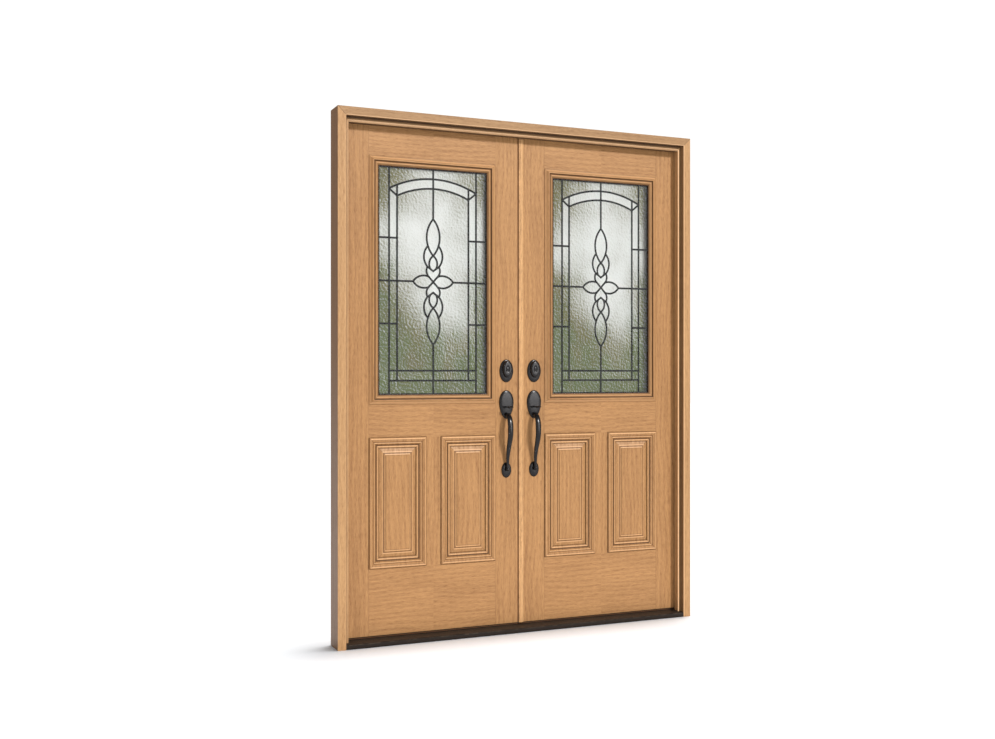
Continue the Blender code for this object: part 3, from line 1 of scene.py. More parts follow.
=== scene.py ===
"""Dresses the glazed double door: oak grain, leaded glass, moulded glazing frames and bronze furniture.

Metres, in the row's frame: +X right seen from outside, +Y into the building, +Z up.
"""

import json
from math import pi, radians

import bmesh
import bpy
import numpy as np
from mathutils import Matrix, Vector

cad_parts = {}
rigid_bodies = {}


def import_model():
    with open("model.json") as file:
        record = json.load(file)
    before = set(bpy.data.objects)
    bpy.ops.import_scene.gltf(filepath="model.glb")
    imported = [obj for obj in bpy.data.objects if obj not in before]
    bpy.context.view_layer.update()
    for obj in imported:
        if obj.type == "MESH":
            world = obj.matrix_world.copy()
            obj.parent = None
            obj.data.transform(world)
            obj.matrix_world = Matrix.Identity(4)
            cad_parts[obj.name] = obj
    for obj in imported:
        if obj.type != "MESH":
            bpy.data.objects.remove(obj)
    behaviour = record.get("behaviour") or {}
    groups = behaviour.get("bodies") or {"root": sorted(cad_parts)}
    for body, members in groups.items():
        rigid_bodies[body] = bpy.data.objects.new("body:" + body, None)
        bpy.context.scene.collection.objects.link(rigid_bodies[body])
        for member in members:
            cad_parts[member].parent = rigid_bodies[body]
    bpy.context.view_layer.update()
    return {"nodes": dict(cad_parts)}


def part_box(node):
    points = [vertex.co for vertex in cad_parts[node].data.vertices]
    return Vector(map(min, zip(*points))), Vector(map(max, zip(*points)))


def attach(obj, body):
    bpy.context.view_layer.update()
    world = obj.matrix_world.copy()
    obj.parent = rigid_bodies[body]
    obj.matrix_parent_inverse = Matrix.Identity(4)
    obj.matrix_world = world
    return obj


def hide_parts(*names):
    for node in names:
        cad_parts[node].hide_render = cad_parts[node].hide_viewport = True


bl_info = {
    "name": "Glazed double door",
    "version": (1, 0, 0),
    "blender": (4, 5, 0),
    "location": "View3D > Sidebar > Door",
    "description": "Builds the looks of a glazed double entry door round its CAD frame",
    "category": "Object",
}

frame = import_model()
NODES = frame["nodes"]
SIDES = (("left", -1), ("right", 1))

# Places read from the frame

SEAT = 0.0003
SLAB_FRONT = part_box("right_slab")[0].y
SLAB_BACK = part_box("left_inside_rose")[0].y - SEAT
PANE_LOW, PANE_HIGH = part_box("right_outer_pane")
CAME_LOW, CAME_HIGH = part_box("right_came")
GLAZING_LOW, GLAZING_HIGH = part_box("right_outside_glazing_frame")
DEADBOLT_LOW, DEADBOLT_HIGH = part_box("right_deadbolt")
LEAF_CENTRE = (PANE_LOW.x + PANE_HIGH.x) / 2
GLASS_CENTRE = (PANE_LOW.z + PANE_HIGH.z) / 2
OUTSIDE = PANE_LOW.y - 0.0003
FURNITURE_X = (DEADBOLT_LOW.x + DEADBOLT_HIGH.x) / 2
DEADBOLT_HEIGHT = (DEADBOLT_LOW.z + DEADBOLT_HIGH.z) / 2
HINGE_KNUCKLE = 0.0062
HINGE_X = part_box("right_frame_hinge_1")[0].x + HINGE_KNUCKLE

# The leaf's boards and panels: reach is measured from the middle of the leaf

STILE_EDGE = 0.2685
MULLION_EDGE = 0.0325
PANEL_REACH = 0.1495
PANEL_MIDDLE_HEIGHT = 0.54825
PANEL_HALF_WIDTH = 0.1175
PANEL_HALF_HEIGHT = 0.25475
PANEL_FOOT = PANEL_MIDDLE_HEIGHT - PANEL_HALF_HEIGHT
PANEL_HEAD = PANEL_MIDDLE_HEIGHT + PANEL_HALF_HEIGHT
BEVEL_START = 0.036
BEVEL_END = 0.068
MIDDLE_OF_LEAF_DEPTH = 0.02
# Dark lines in the quirks, stained grooves with painted shade in them, and painted highlights on the ridges,
# at set depths from an edge: (depth, half width, strength)
PANEL_QUIRKS = (
    (-0.0012, 0.0014, 0.60), (0.0097, 0.0013, 0.30), (0.0178, 0.0016, 0.60),
    (0.0288, 0.0026, 1.0), (0.0410, 0.0018, 0.45), (0.0605, 0.0018, 0.75),
)
PANEL_RIDGE_HIGHLIGHTS = (
    (0.0040, 0.0026, 1.0), (0.0205, 0.0013, 1.0), (0.0345, 0.0018, 1.0),
    (0.0560, 0.0018, 1.0), (0.0665, 0.0022, 1.0),
)
FRAME_QUIRKS = ((0.0205, 0.0028, 1.0), (0.0372, 0.0030, 1.0))
FRAME_RIDGE_HIGHLIGHTS = ((0.0075, 0.0040, 1.0), (0.0280, 0.0026, 1.0))

# The slab's own steps round a panel, as (inset, height), and the seat of the fine moulding on them
PANEL_SEAT = 0.0002
PANEL_BED = (
    (-0.0010, 0.0), (0.0, 0.0), (0.0025, 0.0015), (0.0060, 0.0035), (0.0100, 0.0035), (0.0130, 0.0010),
    (0.0160, 0.0005), (0.0170, -0.0015), (0.0240, -0.0050), (0.0270, -0.0075), (0.0310, -0.0080),
    (0.0360, -0.0080), (0.0392, -0.00745),
)

# The leaded pattern, from the middle of the glass

BORDER_INNER, BORDER_OUTER = 0.1515, 0.1845
FOOT_INNER, FOOT_OUTER = 0.354, 0.3935
INNER_ARCH, OUTER_ARCH = 0.371, 0.4095
INNER_SPRING, OUTER_SPRING = 0.3355, 0.3625
CORNER_BAR, BAR_END = 0.169, 0.224
CAME_END = 0.443
TIP, BUD, HEART = 0.250, 0.104, 0.043
PETAL_TIP = 0.085
PETAL_ROOT = (0.0195, 0.021)
CROSSING = (0.024, 0.060)
LOOP_TOP = (0.024, 0.1415)

# The lock furniture

LOCK_HEIGHT = 0.9215
TURN_HEIGHT = 1.066
PLATE_HEIGHT = 0.928
FOOT_ROSE_HEIGHT = 0.660
BALL_HEIGHT = 0.664
KEY_RISE = 0.007
ROSE_PROUD = 0.0085
INSIDE_ROSE_SIZE = (0.060, 0.080)
TURN_ROSE_SIZE = (0.061, 0.093)
# The grip from its top down: (height, how far proud, half width, half depth)
GRIP = (
    (0.8900, 0.0020, 0.0120, 0.0075),
    (0.8880, 0.0110, 0.0112, 0.0075),
    (0.8830, 0.0215, 0.0107, 0.0074),
    (0.8715, 0.0305, 0.0108, 0.0072),
    (0.8520, 0.0362, 0.0113, 0.0073),
    (0.8250, 0.0380, 0.0116, 0.0073),
    (0.8000, 0.0366, 0.0111, 0.0072),
    (0.7700, 0.0292, 0.0100, 0.0068),
    (0.7410, 0.0216, 0.0088, 0.0060),
    (0.7110, 0.0168, 0.0070, 0.0050),
    (0.6900, 0.0160, 0.0059, 0.0044),
    (0.6690, 0.0155, 0.0054, 0.0042),
)
GRIP_NECK = 0.016


def length(name, description, default):
    return bpy.props.FloatProperty(name=name, description=description, default=default, unit="LENGTH")


def colour(name, description, default):
    return bpy.props.FloatVectorProperty(
        name=name, description=description, default=default, subtype="COLOR", size=3, min=0.0, max=1.0
    )


class DoorSizes(bpy.types.PropertyGroup):
    """Sizes of the finer pieces."""

    came_width: length("Came width", "Width of the lead strips between the pieces of glass", 0.0082)
    came_thickness: length("Came thickness", "Thickness of the lead strips", 0.0022)
    solder_radius: length("Solder joint", "Radius of the solder joints where strips meet", 0.0046)
    ripple: length("Glass ripple", "Height of the ripple in the textured glass", 0.0009)
    camera_lens: bpy.props.FloatProperty(
        name="Lens",
        description="Focal length of the camera on a 36 mm sensor, in millimetres",
        default=41.35,
        subtype="DISTANCE_CAMERA",
    )


class DoorColours(bpy.types.PropertyGroup):
    """Colours of the finishes."""

    oak_light: colour("Oak, light", "Pale wood between the grain lines", (0.462, 0.240, 0.093))
    oak_dark: colour("Oak, dark", "Stain held in the grain lines", (0.178, 0.071, 0.021))
    casing_light: colour("Casing, light", "Pale wood of the casing", (0.512, 0.290, 0.128))
    casing_dark: colour("Casing, dark", "Grain lines of the casing", (0.225, 0.102, 0.035))
    bronze: colour("Bronze", "Body of the lock furniture", (0.0095, 0.0085, 0.0088))
    bronze_rubbed: colour("Bronze, rubbed", "Bronze where hands have rubbed it", (0.045, 0.038, 0.034))
    lead: colour("Lead", "Dark patina on the cames", (0.002, 0.002, 0.002))
    glass_bright: colour("Glass, bright", "Textured glass where it is clearest", (0.955, 0.945, 0.92))
    glass_shade: colour("Glass, shade", "Textured glass towards its edges", (0.118, 0.100, 0.014))
    glass_moss: colour("Glass, moss", "Textured glass towards its foot", (0.075, 0.103, 0.012))
    sill_metal: colour("Sill", "Dark bronze of the sill", (0.022, 0.015, 0.011))
    sill_dust: colour("Sill dust", "Dust in the sill's ribs", (0.085, 0.062, 0.044))


def sizes():
    return bpy.context.scene.door_sizes


def colours():
    return bpy.context.scene.door_colours


# Mesh tools


def grid_faces(rows, columns, wrap_rows=False, wrap_columns=False, capped=False):
    """Quads of a grid whose vertex (i, j) has number i * columns + j, wrapped round where asked.

    capped closes the first and the last row with one face each.
    """
    i = np.arange(rows if wrap_rows else rows - 1)[:, None]
    j = np.arange(columns if wrap_columns else columns - 1)[None, :]
    i2 = (i + 1) % rows
    j2 = (j + 1) % columns
    corners = [i * columns + j, i * columns + j2, i2 * columns + j2, i2 * columns + j]
    faces = np.stack(np.broadcast_arrays(*corners), axis=-1).reshape(-1, 4).tolist()
    if capped:
        faces.append(list(range(columns)))
        faces.append([rows * columns - 1 - n for n in range(columns)])
    return faces


def turned(profile, sides):
    """Surface of revolution about Z: ring k has radius profile[k, 0] and height profile[k, 1].

    Point (k, t) is (r_k cos t, r_k sin t, h_k). The first and last ring close to one point each.
    """
    profile = np.asarray(profile, float)
    t = np.linspace(0.0, 2 * pi, sides, endpoint=False)
    rings = profile[1:-1]
    x = rings[:, :1] * np.cos(t)
    y = rings[:, :1] * np.sin(t)
    z = np.repeat(rings[:, 1:], sides, axis=1)
    verts = np.stack([x, y, z], axis=-1).reshape(-1, 3)
    poles = np.array([[0.0, 0.0, profile[0, 1]], [0.0, 0.0, profile[-1, 1]]])
    count = len(verts)
    faces = grid_faces(len(rings), sides, wrap_columns=True)
    j = np.arange(sides)
    k = (j + 1) % sides
    last = (len(rings) - 1) * sides
    faces += np.stack([j, k, np.full(sides, count)], axis=1).tolist()
    faces += np.stack([last + k, last + j, np.full(sides, count + 1)], axis=1).tolist()
    return np.vstack([verts, poles]), faces


def smooth_profile(points, steps=4):
    """The points joined by a Catmull-Rom curve: each span is a cubic of its four nearest points."""
    p = np.asarray(points, float)
    p = np.vstack([2 * p[0] - p[1], p, 2 * p[-1] - p[-2]])
    t = np.linspace(0.0, 1.0, steps, endpoint=False)[:, None]
    a, b, c, d = (q[:, None, :] for q in (p[:-3], p[1:-2], p[2:-1], p[3:]))
    curve = 0.5 * (2 * b + (c - a) * t + (2 * a - 5 * b + 4 * c - d) * t**2 + (3 * b - a - 3 * c + d) * t**3)
    return np.vstack([curve.reshape(-1, p.shape[1]), p[-2]])


def smooth_capped(points, flat, steps):
    """Smooths all but the last few points of a profile, which stay straight."""
    points = np.asarray(points, float)
    return np.vstack([smooth_profile(points[:-flat], steps), points[-flat:]])


def squared(wave, power):
    """A sine or cosine flattened towards its ends: its size to a power under 1, with its own sign."""
    return np.sign(wave) * np.abs(wave) ** power


def on_face(part, place, outward, size=(1.0, 1.0), taper=0.0, rise=0.0):
    """Stands a turned piece on a leaf's face: its Z becomes the way out of the face.

    size scales width and height, and taper narrows the foot and widens the head in a straight line.
    """
    verts, faces = part
    x, y, h = verts.T
    width = x * size[0] * (1 + taper * y)
    stood = [place[0] + width, place[1] + outward * h, place[2] + rise + y * size[1]]
    return np.stack(stood, axis=-1), faces


def joined(*parts):
    """Several (verts, faces) pairs as one."""
    verts, faces, start = [], [], 0
    for v, f in parts:
        verts.append(np.asarray(v, float))
        faces += [[start + n for n in face] for face in f]
        start += len(v)
    return np.vstack(verts), faces


def bar_along(path, width, thickness, closed=False, sides=8):
    """A low domed bar along a flat path of (x, z) points.

    Point (i, a) is path_i + normal_i * w/2 * cos a across and t/2 * sin a in depth, with the sine
    flattened so that the faces are broad. At a corner the normal is the mitre of its two sides.
    """
    p = np.asarray(path, float)
    step = np.roll(p, -1, axis=0) - p
    if not closed:
        step[-1] = step[-2]
    step /= np.linalg.norm(step, axis=1)[:, None]
    normal = np.stack([-step[:, 1], step[:, 0]], axis=1)
    before = np.roll(normal, 1, axis=0)
    if not closed:
        before[0] = normal[0]
    mitre = (normal + before) / (1 + (normal * before).sum(axis=1))[:, None]
    a = np.linspace(0.0, 2 * pi, sides, endpoint=False) + pi / sides
    across = squared(np.cos(a), 0.8) * width / 2
    depth = squared(np.sin(a), 0.7) * thickness / 2
    flat = p[:, None, :] + mitre[:, None, :] * across[None, :, None]
    y = np.broadcast_to(depth, (len(p), sides))
    verts = np.stack([flat[..., 0], y, flat[..., 1]], axis=-1).reshape(-1, 3)
    return verts, grid_faces(len(p), sides, wrap_rows=closed, wrap_columns=True, capped=not closed)


def arc(start, middle, end, steps=28):
    """Points on the circle through three points, its centre from the crossing of their bisectors."""
    a, b, c = (complex(*point) for point in (start, middle, end))
    w = (c - a) / (b - a)
    centre = (b - a) * (w - abs(w) ** 2) / (2j * w.imag) + a
    angles = np.unwrap(np.angle(np.array([a, b, c]) - centre))
    turn = np.linspace(angles[0], angles[2], steps + 1)
    points = centre + abs(a - centre) * np.exp(1j * turn)
    return np.stack([points.real, points.imag], axis=1)


def box_part(low, high):
    """The eight corners of a box and its six sides."""
    low, high = np.asarray(low, float), np.asarray(high, float)
    corner = np.array([[i, j, k] for i in (0, 1) for j in (0, 1) for k in (0, 1)])
    faces = [[0, 1, 3, 2], [4, 6, 7, 5], [0, 4, 5, 1], [2, 3, 7, 6], [0, 2, 6, 4], [1, 5, 7, 3]]
    return low + corner * (high - low), faces


def make_piece(name, part, material, body, slot, replaces=(), angle=35.0, bevel=0.0):
    """Makes the mesh object, shades it, and says what it rides on and which CAD nodes it stands for."""
    verts, faces = part
    mesh = bpy.data.meshes.new(name)
    mesh.from_pydata(np.asarray(verts).tolist(), [], faces)
    bm = bmesh.new()
    bm.from_mesh(mesh)
    bmesh.ops.recalc_face_normals(bm, faces=bm.faces)
    bm.to_mesh(mesh)
    bm.free()
    mesh.shade_smooth()
    mesh.set_sharp_from_angle(angle=radians(angle))
    mesh.materials.append(material)
    obj = bpy.data.objects.new(name, mesh)
    bpy.context.scene.collection.objects.link(obj)
    if bevel:
        soften = obj.modifiers.new("soft_edges", "BEVEL")
        soften.width = bevel
        soften.segments = 2
        soften.limit_method = "ANGLE"
        soften.angle_limit = radians(40)
    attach(obj, body)
    if replaces:
        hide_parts(*replaces)
    return obj


def dress(material, *nodes):
    """Gives CAD nodes another material."""
    for node in nodes:
        mesh = NODES[node].data
        mesh.materials.clear()
        mesh.materials.append(material)


# Node tools


def math_between(operation, swapped=False):
    """A Python operator that adds a Math node between a field and another field or number."""

    def apply(self, other):
        pair = (other, self) if swapped else (self, other)
        return self.wiring.math(operation, *pair)

    return apply


class Field:
    """A value that changes over a surface: an output socket that can be added, multiplied and compared."""

    def __init__(self, wiring, socket):
        self.wiring = wiring
        self.socket = socket

    __add__ = __radd__ = math_between("ADD")
    __mul__ = __rmul__ = math_between("MULTIPLY")
    __sub__ = math_between("SUBTRACT")
    __rsub__ = math_between("SUBTRACT", swapped=True)
    __truediv__ = math_between("DIVIDE")
    __gt__ = math_between("GREATER_THAN")
    __lt__ = math_between("LESS_THAN")

    def __abs__(self):
        return self.wiring.math("ABSOLUTE", self)


class Wiring:
    """Adds nodes to a tree and links them."""

    def __init__(self, tree):
        self.tree = tree

    def add(self, kind, **settings):
        node = self.tree.nodes.new(kind)
        for key, value in settings.items():
            setattr(node, key, value)
        return node

    def feed(self, value, socket):
        if isinstance(value, Field):
            self.tree.links.new(value.socket, socket)
        else:
            socket.default_value = value

    def fill(self, sockets, **values):
        """Feeds sockets by their names, with an underscore for each space."""
        for label, value in values.items():
            if isinstance(value, tuple) and len(value) == 3:
                value = (*value, 1.0)
            self.feed(value, sockets[label.replace("_", " ")])

    def fields(self, sockets):
        return {socket.name: Field(self, socket) for socket in sockets}

    def math(self, operation, *values, clamp=False):
        node = self.add("ShaderNodeMath", operation=operation, use_clamp=clamp)
        for socket, value in zip(node.inputs, values):
            self.feed(value, socket)
        return Field(self, node.outputs[0])

    def largest(self, *values):
        """The largest of the values at each point."""
        most = values[0]
        for value in values[1:]:
            most = self.math("MAXIMUM", most, value)
        return most

    def kept_within(self, value, low, high):
        return self.math("MINIMUM", self.math("MAXIMUM", value, low), high)

    def noise(self, vector, scale, detail=2.0, roughness=0.5):
        node = self.add("ShaderNodeTexNoise")
        self.fill(node.inputs, Vector=vector, Scale=scale, Detail=detail, Roughness=roughness)
        return Field(self, node.outputs["Fac"])

    def split(self, vector):
        node = self.add("ShaderNodeSeparateXYZ")
        self.feed(vector, node.inputs[0])
        return [Field(self, socket) for socket in node.outputs]

    def vector(self, x, y, z):
        node = self.add("ShaderNodeCombineXYZ")
        self.fill(node.inputs, X=x, Y=y, Z=z)
        return Field(self, node.outputs[0])

    def moved(self, vector, offset):
        node = self.add("ShaderNodeVectorMath", operation="ADD")
        self.feed(vector, node.inputs[0])
        node.inputs[1].default_value = offset
        return Field(self, node.outputs[0])

    def blend(self, amount, first, second):
        node = self.add("ShaderNodeMix", data_type="RGBA")
        for number, value in ((0, amount), (6, first), (7, second)):
            self.feed((*value, 1.0) if isinstance(value, tuple) else value, node.inputs[number])
        return Field(self, node.outputs[2])

    def step(self, value, low, high, out_low=0.0, out_high=1.0):
        """A smooth step from out_low to out_high as value goes from low to high."""
        node = self.add("ShaderNodeMapRange", interpolation_type="SMOOTHSTEP")
        for socket, number in zip(node.inputs, (value, low, high, out_low, out_high)):
            self.feed(number, socket)
        return Field(self, node.outputs[0])

    def line(self, value, middle, inner, outer):
        """1 within inner of the middle, falling smoothly to 0 at outer."""
        return 1.0 - self.step(abs(value - middle), inner, outer)

    def lines(self, value, rows, outer, least=0.0):
        """The strongest of several lines, each given as (middle, half width, strength)."""
        each = [self.line(value, at, half * 0.4, half * outer) * amount for at, half, amount in rows]
        return self.largest(least, *each)

    def object_point(self):
        return Field(self, self.add("ShaderNodeTexCoord").outputs["Object"])

    def bump(self, height, distance, strength=1.0):
        node = self.add("ShaderNodeBump")
        self.fill(node.inputs, Strength=strength, Distance=distance, Height=height)
        return Field(self, node.outputs[0])

    def place(self, group, **values):
        """Places a node group with its own values and gives its outputs by name."""
        node = self.add("ShaderNodeGroup", node_tree=group)
        self.fill(node.inputs, **values)
        return self.fields(node.outputs)


def new_group(name, inputs, outputs):
    """A shader node group with named sockets, each written as Name:Kind.

    Gives its wiring, its inputs by name, and a function that feeds its outputs and gives its tree.
    """
    tree = bpy.data.node_groups.new(name, "ShaderNodeTree")
    for way, sockets in (("INPUT", inputs), ("OUTPUT", outputs)):
        for label, kind in (socket.split(":") for socket in sockets.split()):
            tree.interface.new_socket(label, in_out=way, socket_type="NodeSocket" + kind)
    wiring = Wiring(tree)
    given = wiring.fields(wiring.add("NodeGroupInput").outputs)
    out = wiring.add("NodeGroupOutput").inputs

    def put(**values):
        wiring.fill(out, **values)
        return tree

    return wiring, given, put


SURFACE_OUTPUTS = "Color:Color Roughness:Float Height:Float"
BOARD_OUTPUTS = "Across:Float Along:Float Seed:Float Joint:Float Quirk:Float Ridge:Float Relief:Float"


def oak_grain_group():
    """Oak: broad arched figure from warped sine bands, pores from noise drawn out along the grain.

    Across is the distance across the grain and Along the distance along it. Seed moves the pattern.
    """
    inputs = "Across:Float Along:Float Seed:Float Light:Color Dark:Color"
    wiring, given, put = new_group("Oak grain", inputs, SURFACE_OUTPUTS)
    across = given["Across"] + given["Seed"] * 0.37
    along = given["Along"] + given["Seed"] * 1.93

    def grain(size_across, size_along, layer, detail, roughness=0.5):
        point = wiring.vector(across * size_across, along * size_along, layer)
        return wiring.noise(point, 1.0, detail, roughness)

    phase = across * 330.0 + grain(5.0, 1.6, given["Seed"], 1.0) * 34.0 + grain(60.0, 9.0, 0.0, 2.0) * 3.5
    bands = wiring.math("POWER", wiring.math("SINE", phase) * 0.5 + 0.5, 1.6)
    dashes = grain(300.0, 30.0, 2.0, 3.0, 0.7)
    streaks = grain(110.0, 4.5, 7.0, 2.0)
    broad = grain(12.0, 1.8, 4.0, 2.0)
    pores = wiring.step(grain(700.0, 42.0, 0.0, 2.0, 0.6), 0.52, 0.66)
    dark = bands * 0.12 + 0.20 + (dashes - 0.5) * 1.20 + (streaks - 0.5) * 0.55 + (broad - 0.5) * 0.45
    dark = wiring.math("ADD", dark, pores * (bands * 0.24 + 0.16), clamp=True)
    return put(
        Color=wiring.blend(dark, given["Light"], given["Dark"]),
        Roughness=dark * 0.20 + 0.40,
        Height=dashes * -0.35 - pores * 0.65,
    )


def leaf_boards_group():
    """How a leaf's skin is laid out: upright grain on stiles, panels and mullion, level on the rails.

    Between is 1 between the stiles, and a rail is where that holds outside the height of the panels.
    Depth is how far inside its panel's edge a point lies, and the quirks and ridges lie at set depths.
    The quirks are stained grooves with painted shade in them, and the ridges are painted highlights.
    """
    wiring, given, put = new_group("Leaf boards", "Point:Vector", BOARD_OUTPUTS)
    x, y, z = wiring.split(given["Point"])
    local = abs(x) - LEAF_CENTRE
    reach = abs(local)
    between = reach < STILE_EDGE
    in_panels = (z > PANEL_FOOT) * (z < PANEL_HEAD)
    rail = between * (1.0 - in_panels)
    upright = 1.0 - rail
    panel = between * in_panels * (reach > MULLION_EDGE)
    height_band = (z > 0.55) + (z > 1.4)
    seed = (x > 0.0) * 3.0 + rail * (height_band + 5.0)
    seed = seed + (local > 0.0) * (panel * 0.8 + 0.6) + panel * 11.0
    from_side = PANEL_HALF_WIDTH - abs(reach - PANEL_REACH)
    from_end = PANEL_HALF_HEIGHT - abs(z - PANEL_MIDDLE_HEIGHT)
    depth = wiring.math("MINIMUM", from_side, from_end)
    level = from_end < from_side
    outside = y < MIDDLE_OF_LEAF_DEPTH
    # Outside, the quirks and the mitres: stained grooves and dark joint lines, with painted shade in them.
    # Inside, one dark line of painted shade round each panel.
    mitre = wiring.line(from_side - from_end, 0.0, 0.0004, 0.0022) * (depth > 0.0) * (depth < 0.0670)
    quirk = wiring.largest(wiring.lines(depth, PANEL_QUIRKS, 1.4), mitre * 0.5) * outside
    quirk = quirk + wiring.line(depth, 0.0160, 0.0008, 0.0030) * 0.7 * (1.0 - outside)
    bevel = (wiring.kept_within(depth, BEVEL_START, BEVEL_END) - BEVEL_START) * 0.10
    shoulder = wiring.step(depth, 0.0672, 0.0702) * 0.0030
    return put(
        Across=z * rail + x * upright,
        Along=x * rail + z * upright,
        Seed=seed,
        Joint=wiring.line(reach, STILE_EDGE, 0.0003, 0.0011) * (1.0 - in_panels),
        Quirk=quirk,
        # Painted highlights on the ridges, stronger on the head and foot of each panel.
        Ridge=wiring.lines(depth, PANEL_RIDGE_HIGHLIGHTS, 1.3) * outside * (level * 0.65 + 0.35),
        Relief=(bevel + shoulder - quirk * 0.0004) * outside,
    )


def mitred_boards_group():
    """How a mitred glazing frame is laid out: level grain where a point is nearer to the head or the
    foot than to a side, upright grain elsewhere. The mitre is where the two distances are equal."""
    wiring, given, put = new_group("Mitred boards", "Point:Vector", BOARD_OUTPUTS)
    x, _, z = wiring.split(given["Point"])
    half = (GLAZING_HIGH - GLAZING_LOW) / 2
    from_side = half.x - abs(abs(x) - LEAF_CENTRE)
    from_end = half.z - abs(z - GLASS_CENTRE)
    level = from_end < from_side
    upright = 1.0 - level
    depth = wiring.math("MINIMUM", from_side, from_end)
    # Painted shade: a dark line along the frame's outer edge, and dark quirks that are stained grooves with
    # painted shade in them.
    edge = (1.0 - wiring.step(depth, 0.0002, 0.0014)) * 0.5
    quirk = wiring.lines(depth, FRAME_QUIRKS, 1.3, edge)
    swell = wiring.step(depth, 0.0005, 0.0145) - wiring.step(depth, 0.0185, 0.0240)
    bead = wiring.step(depth, 0.0250, 0.0274) - wiring.step(depth, 0.0280, 0.0350)
    return put(
        Across=z * level + x * upright,
        Along=x * level + z * upright,
        Seed=level * 5.0 + (x > 0.0) * 2.3 + (z > GLASS_CENTRE),
        Joint=wiring.line(from_end - from_side, 0.0, 0.0002, 0.0009),
        Quirk=quirk,
        # Painted highlights on the ridges, stronger on the head and foot.
        Ridge=wiring.lines(depth, FRAME_RIDGE_HIGHLIGHTS, 1.3) * (level * 0.4 + 0.6),
        Relief=swell * 0.0045 + bead * 0.0026 - quirk * 0.0005,
    )


def casing_edges_group():
    """Where the casing and jambs are dark or bright: the mitre line as a dark joint, painted shade on the
    back and outer sides, painted shade in the recess in front of the stop, and painted highlights on the
    arrises of casing and stop."""
    wiring, given, put = new_group("Casing edges", "Point:Vector", "Stain:Float Raw:Float Arris:Float")
    x, y, z = wiring.split(given["Point"])
    low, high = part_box("right_casing")
    width = high.x - low.x
    stop_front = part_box("right_jamb")[0].y
    from_side = high.x - abs(x)
    from_top = high.z - z
    depth = wiring.math("MINIMUM", from_side, from_top)
    level = from_top < from_side
    front = y < low.y + 0.0006
    strip = abs(y - stop_front) < 0.0008
    mitre = wiring.line(from_side - from_top, 0.0, 0.0005, 0.0017) * front
    # Painted shade: the strip in front of the stop darkens towards the casing, and the lining behind the stop
    # and the casing's inner side are dark, the head more than the sides.
    fading = strip * wiring.step(depth, width + 0.001, width + 0.013, 1.0, 0.0)
    lining = (depth > width + 0.0125) * (y > stop_front + 0.001)
    return_side = (abs(depth - width) < 0.0008) * (y > low.y + 0.002)
    fading = fading * (level * 0.30 + 0.60)
    recess = wiring.largest(fading, lining * (level * 0.68 + 0.12), return_side * 0.55)
    # Painted highlights on the arrises of casing and stop, faint on the left-hand casing and strongest on the
    # head.
    casing_edge = wiring.line(depth, width - 0.0015, 0.001, 0.0025) * front
    stop_edge = wiring.line(depth, width + 0.0135, 0.0012, 0.0032) * strip
    seen = wiring.largest((x > 0.25 - high.x) * 0.85 + 0.15, level)
    return put(
        # The mitre joint as a dark line, and painted shade in the recess.
        Stain=wiring.math("MAXIMUM", mitre * 0.7, recess, clamp=True),
        # Painted shade on the back and outer sides.
        Raw=(depth < 0.0004) * (1.0 - front) * 0.85,
        Arris=wiring.largest(casing_edge * 0.6, stop_edge) * seen,
    )


def worn_metal_group():
    """Metal with mottled patina: a base colour, rubbed through in patches that two noises give."""
    inputs = "Point:Vector Scale:Float Body:Color Rubbed:Color Wear:Float"
    wiring, given, put = new_group("Worn metal", inputs, SURFACE_OUTPUTS)
    node = wiring.add("ShaderNodeVectorMath", operation="SCALE")
    wiring.feed(given["Point"], node.inputs[0])
    wiring.feed(given["Scale"], node.inputs["Scale"])
    scaled = Field(wiring, node.outputs[0])
    patches = wiring.noise(scaled, 1.0, 4.0, 0.6)
    grain = wiring.noise(scaled, 14.0, 2.0)
    worn = wiring.step(patches, 0.46, 0.70) * given["Wear"]
    mask = wiring.math("ADD", worn, (grain - 0.5) * 0.12, clamp=True)
    return put(
        Color=wiring.blend(mask, given["Body"], given["Rubbed"]),
        Roughness=patches * 0.16 + 0.16,
        Height=grain * 0.6 + patches * 0.4,
    )


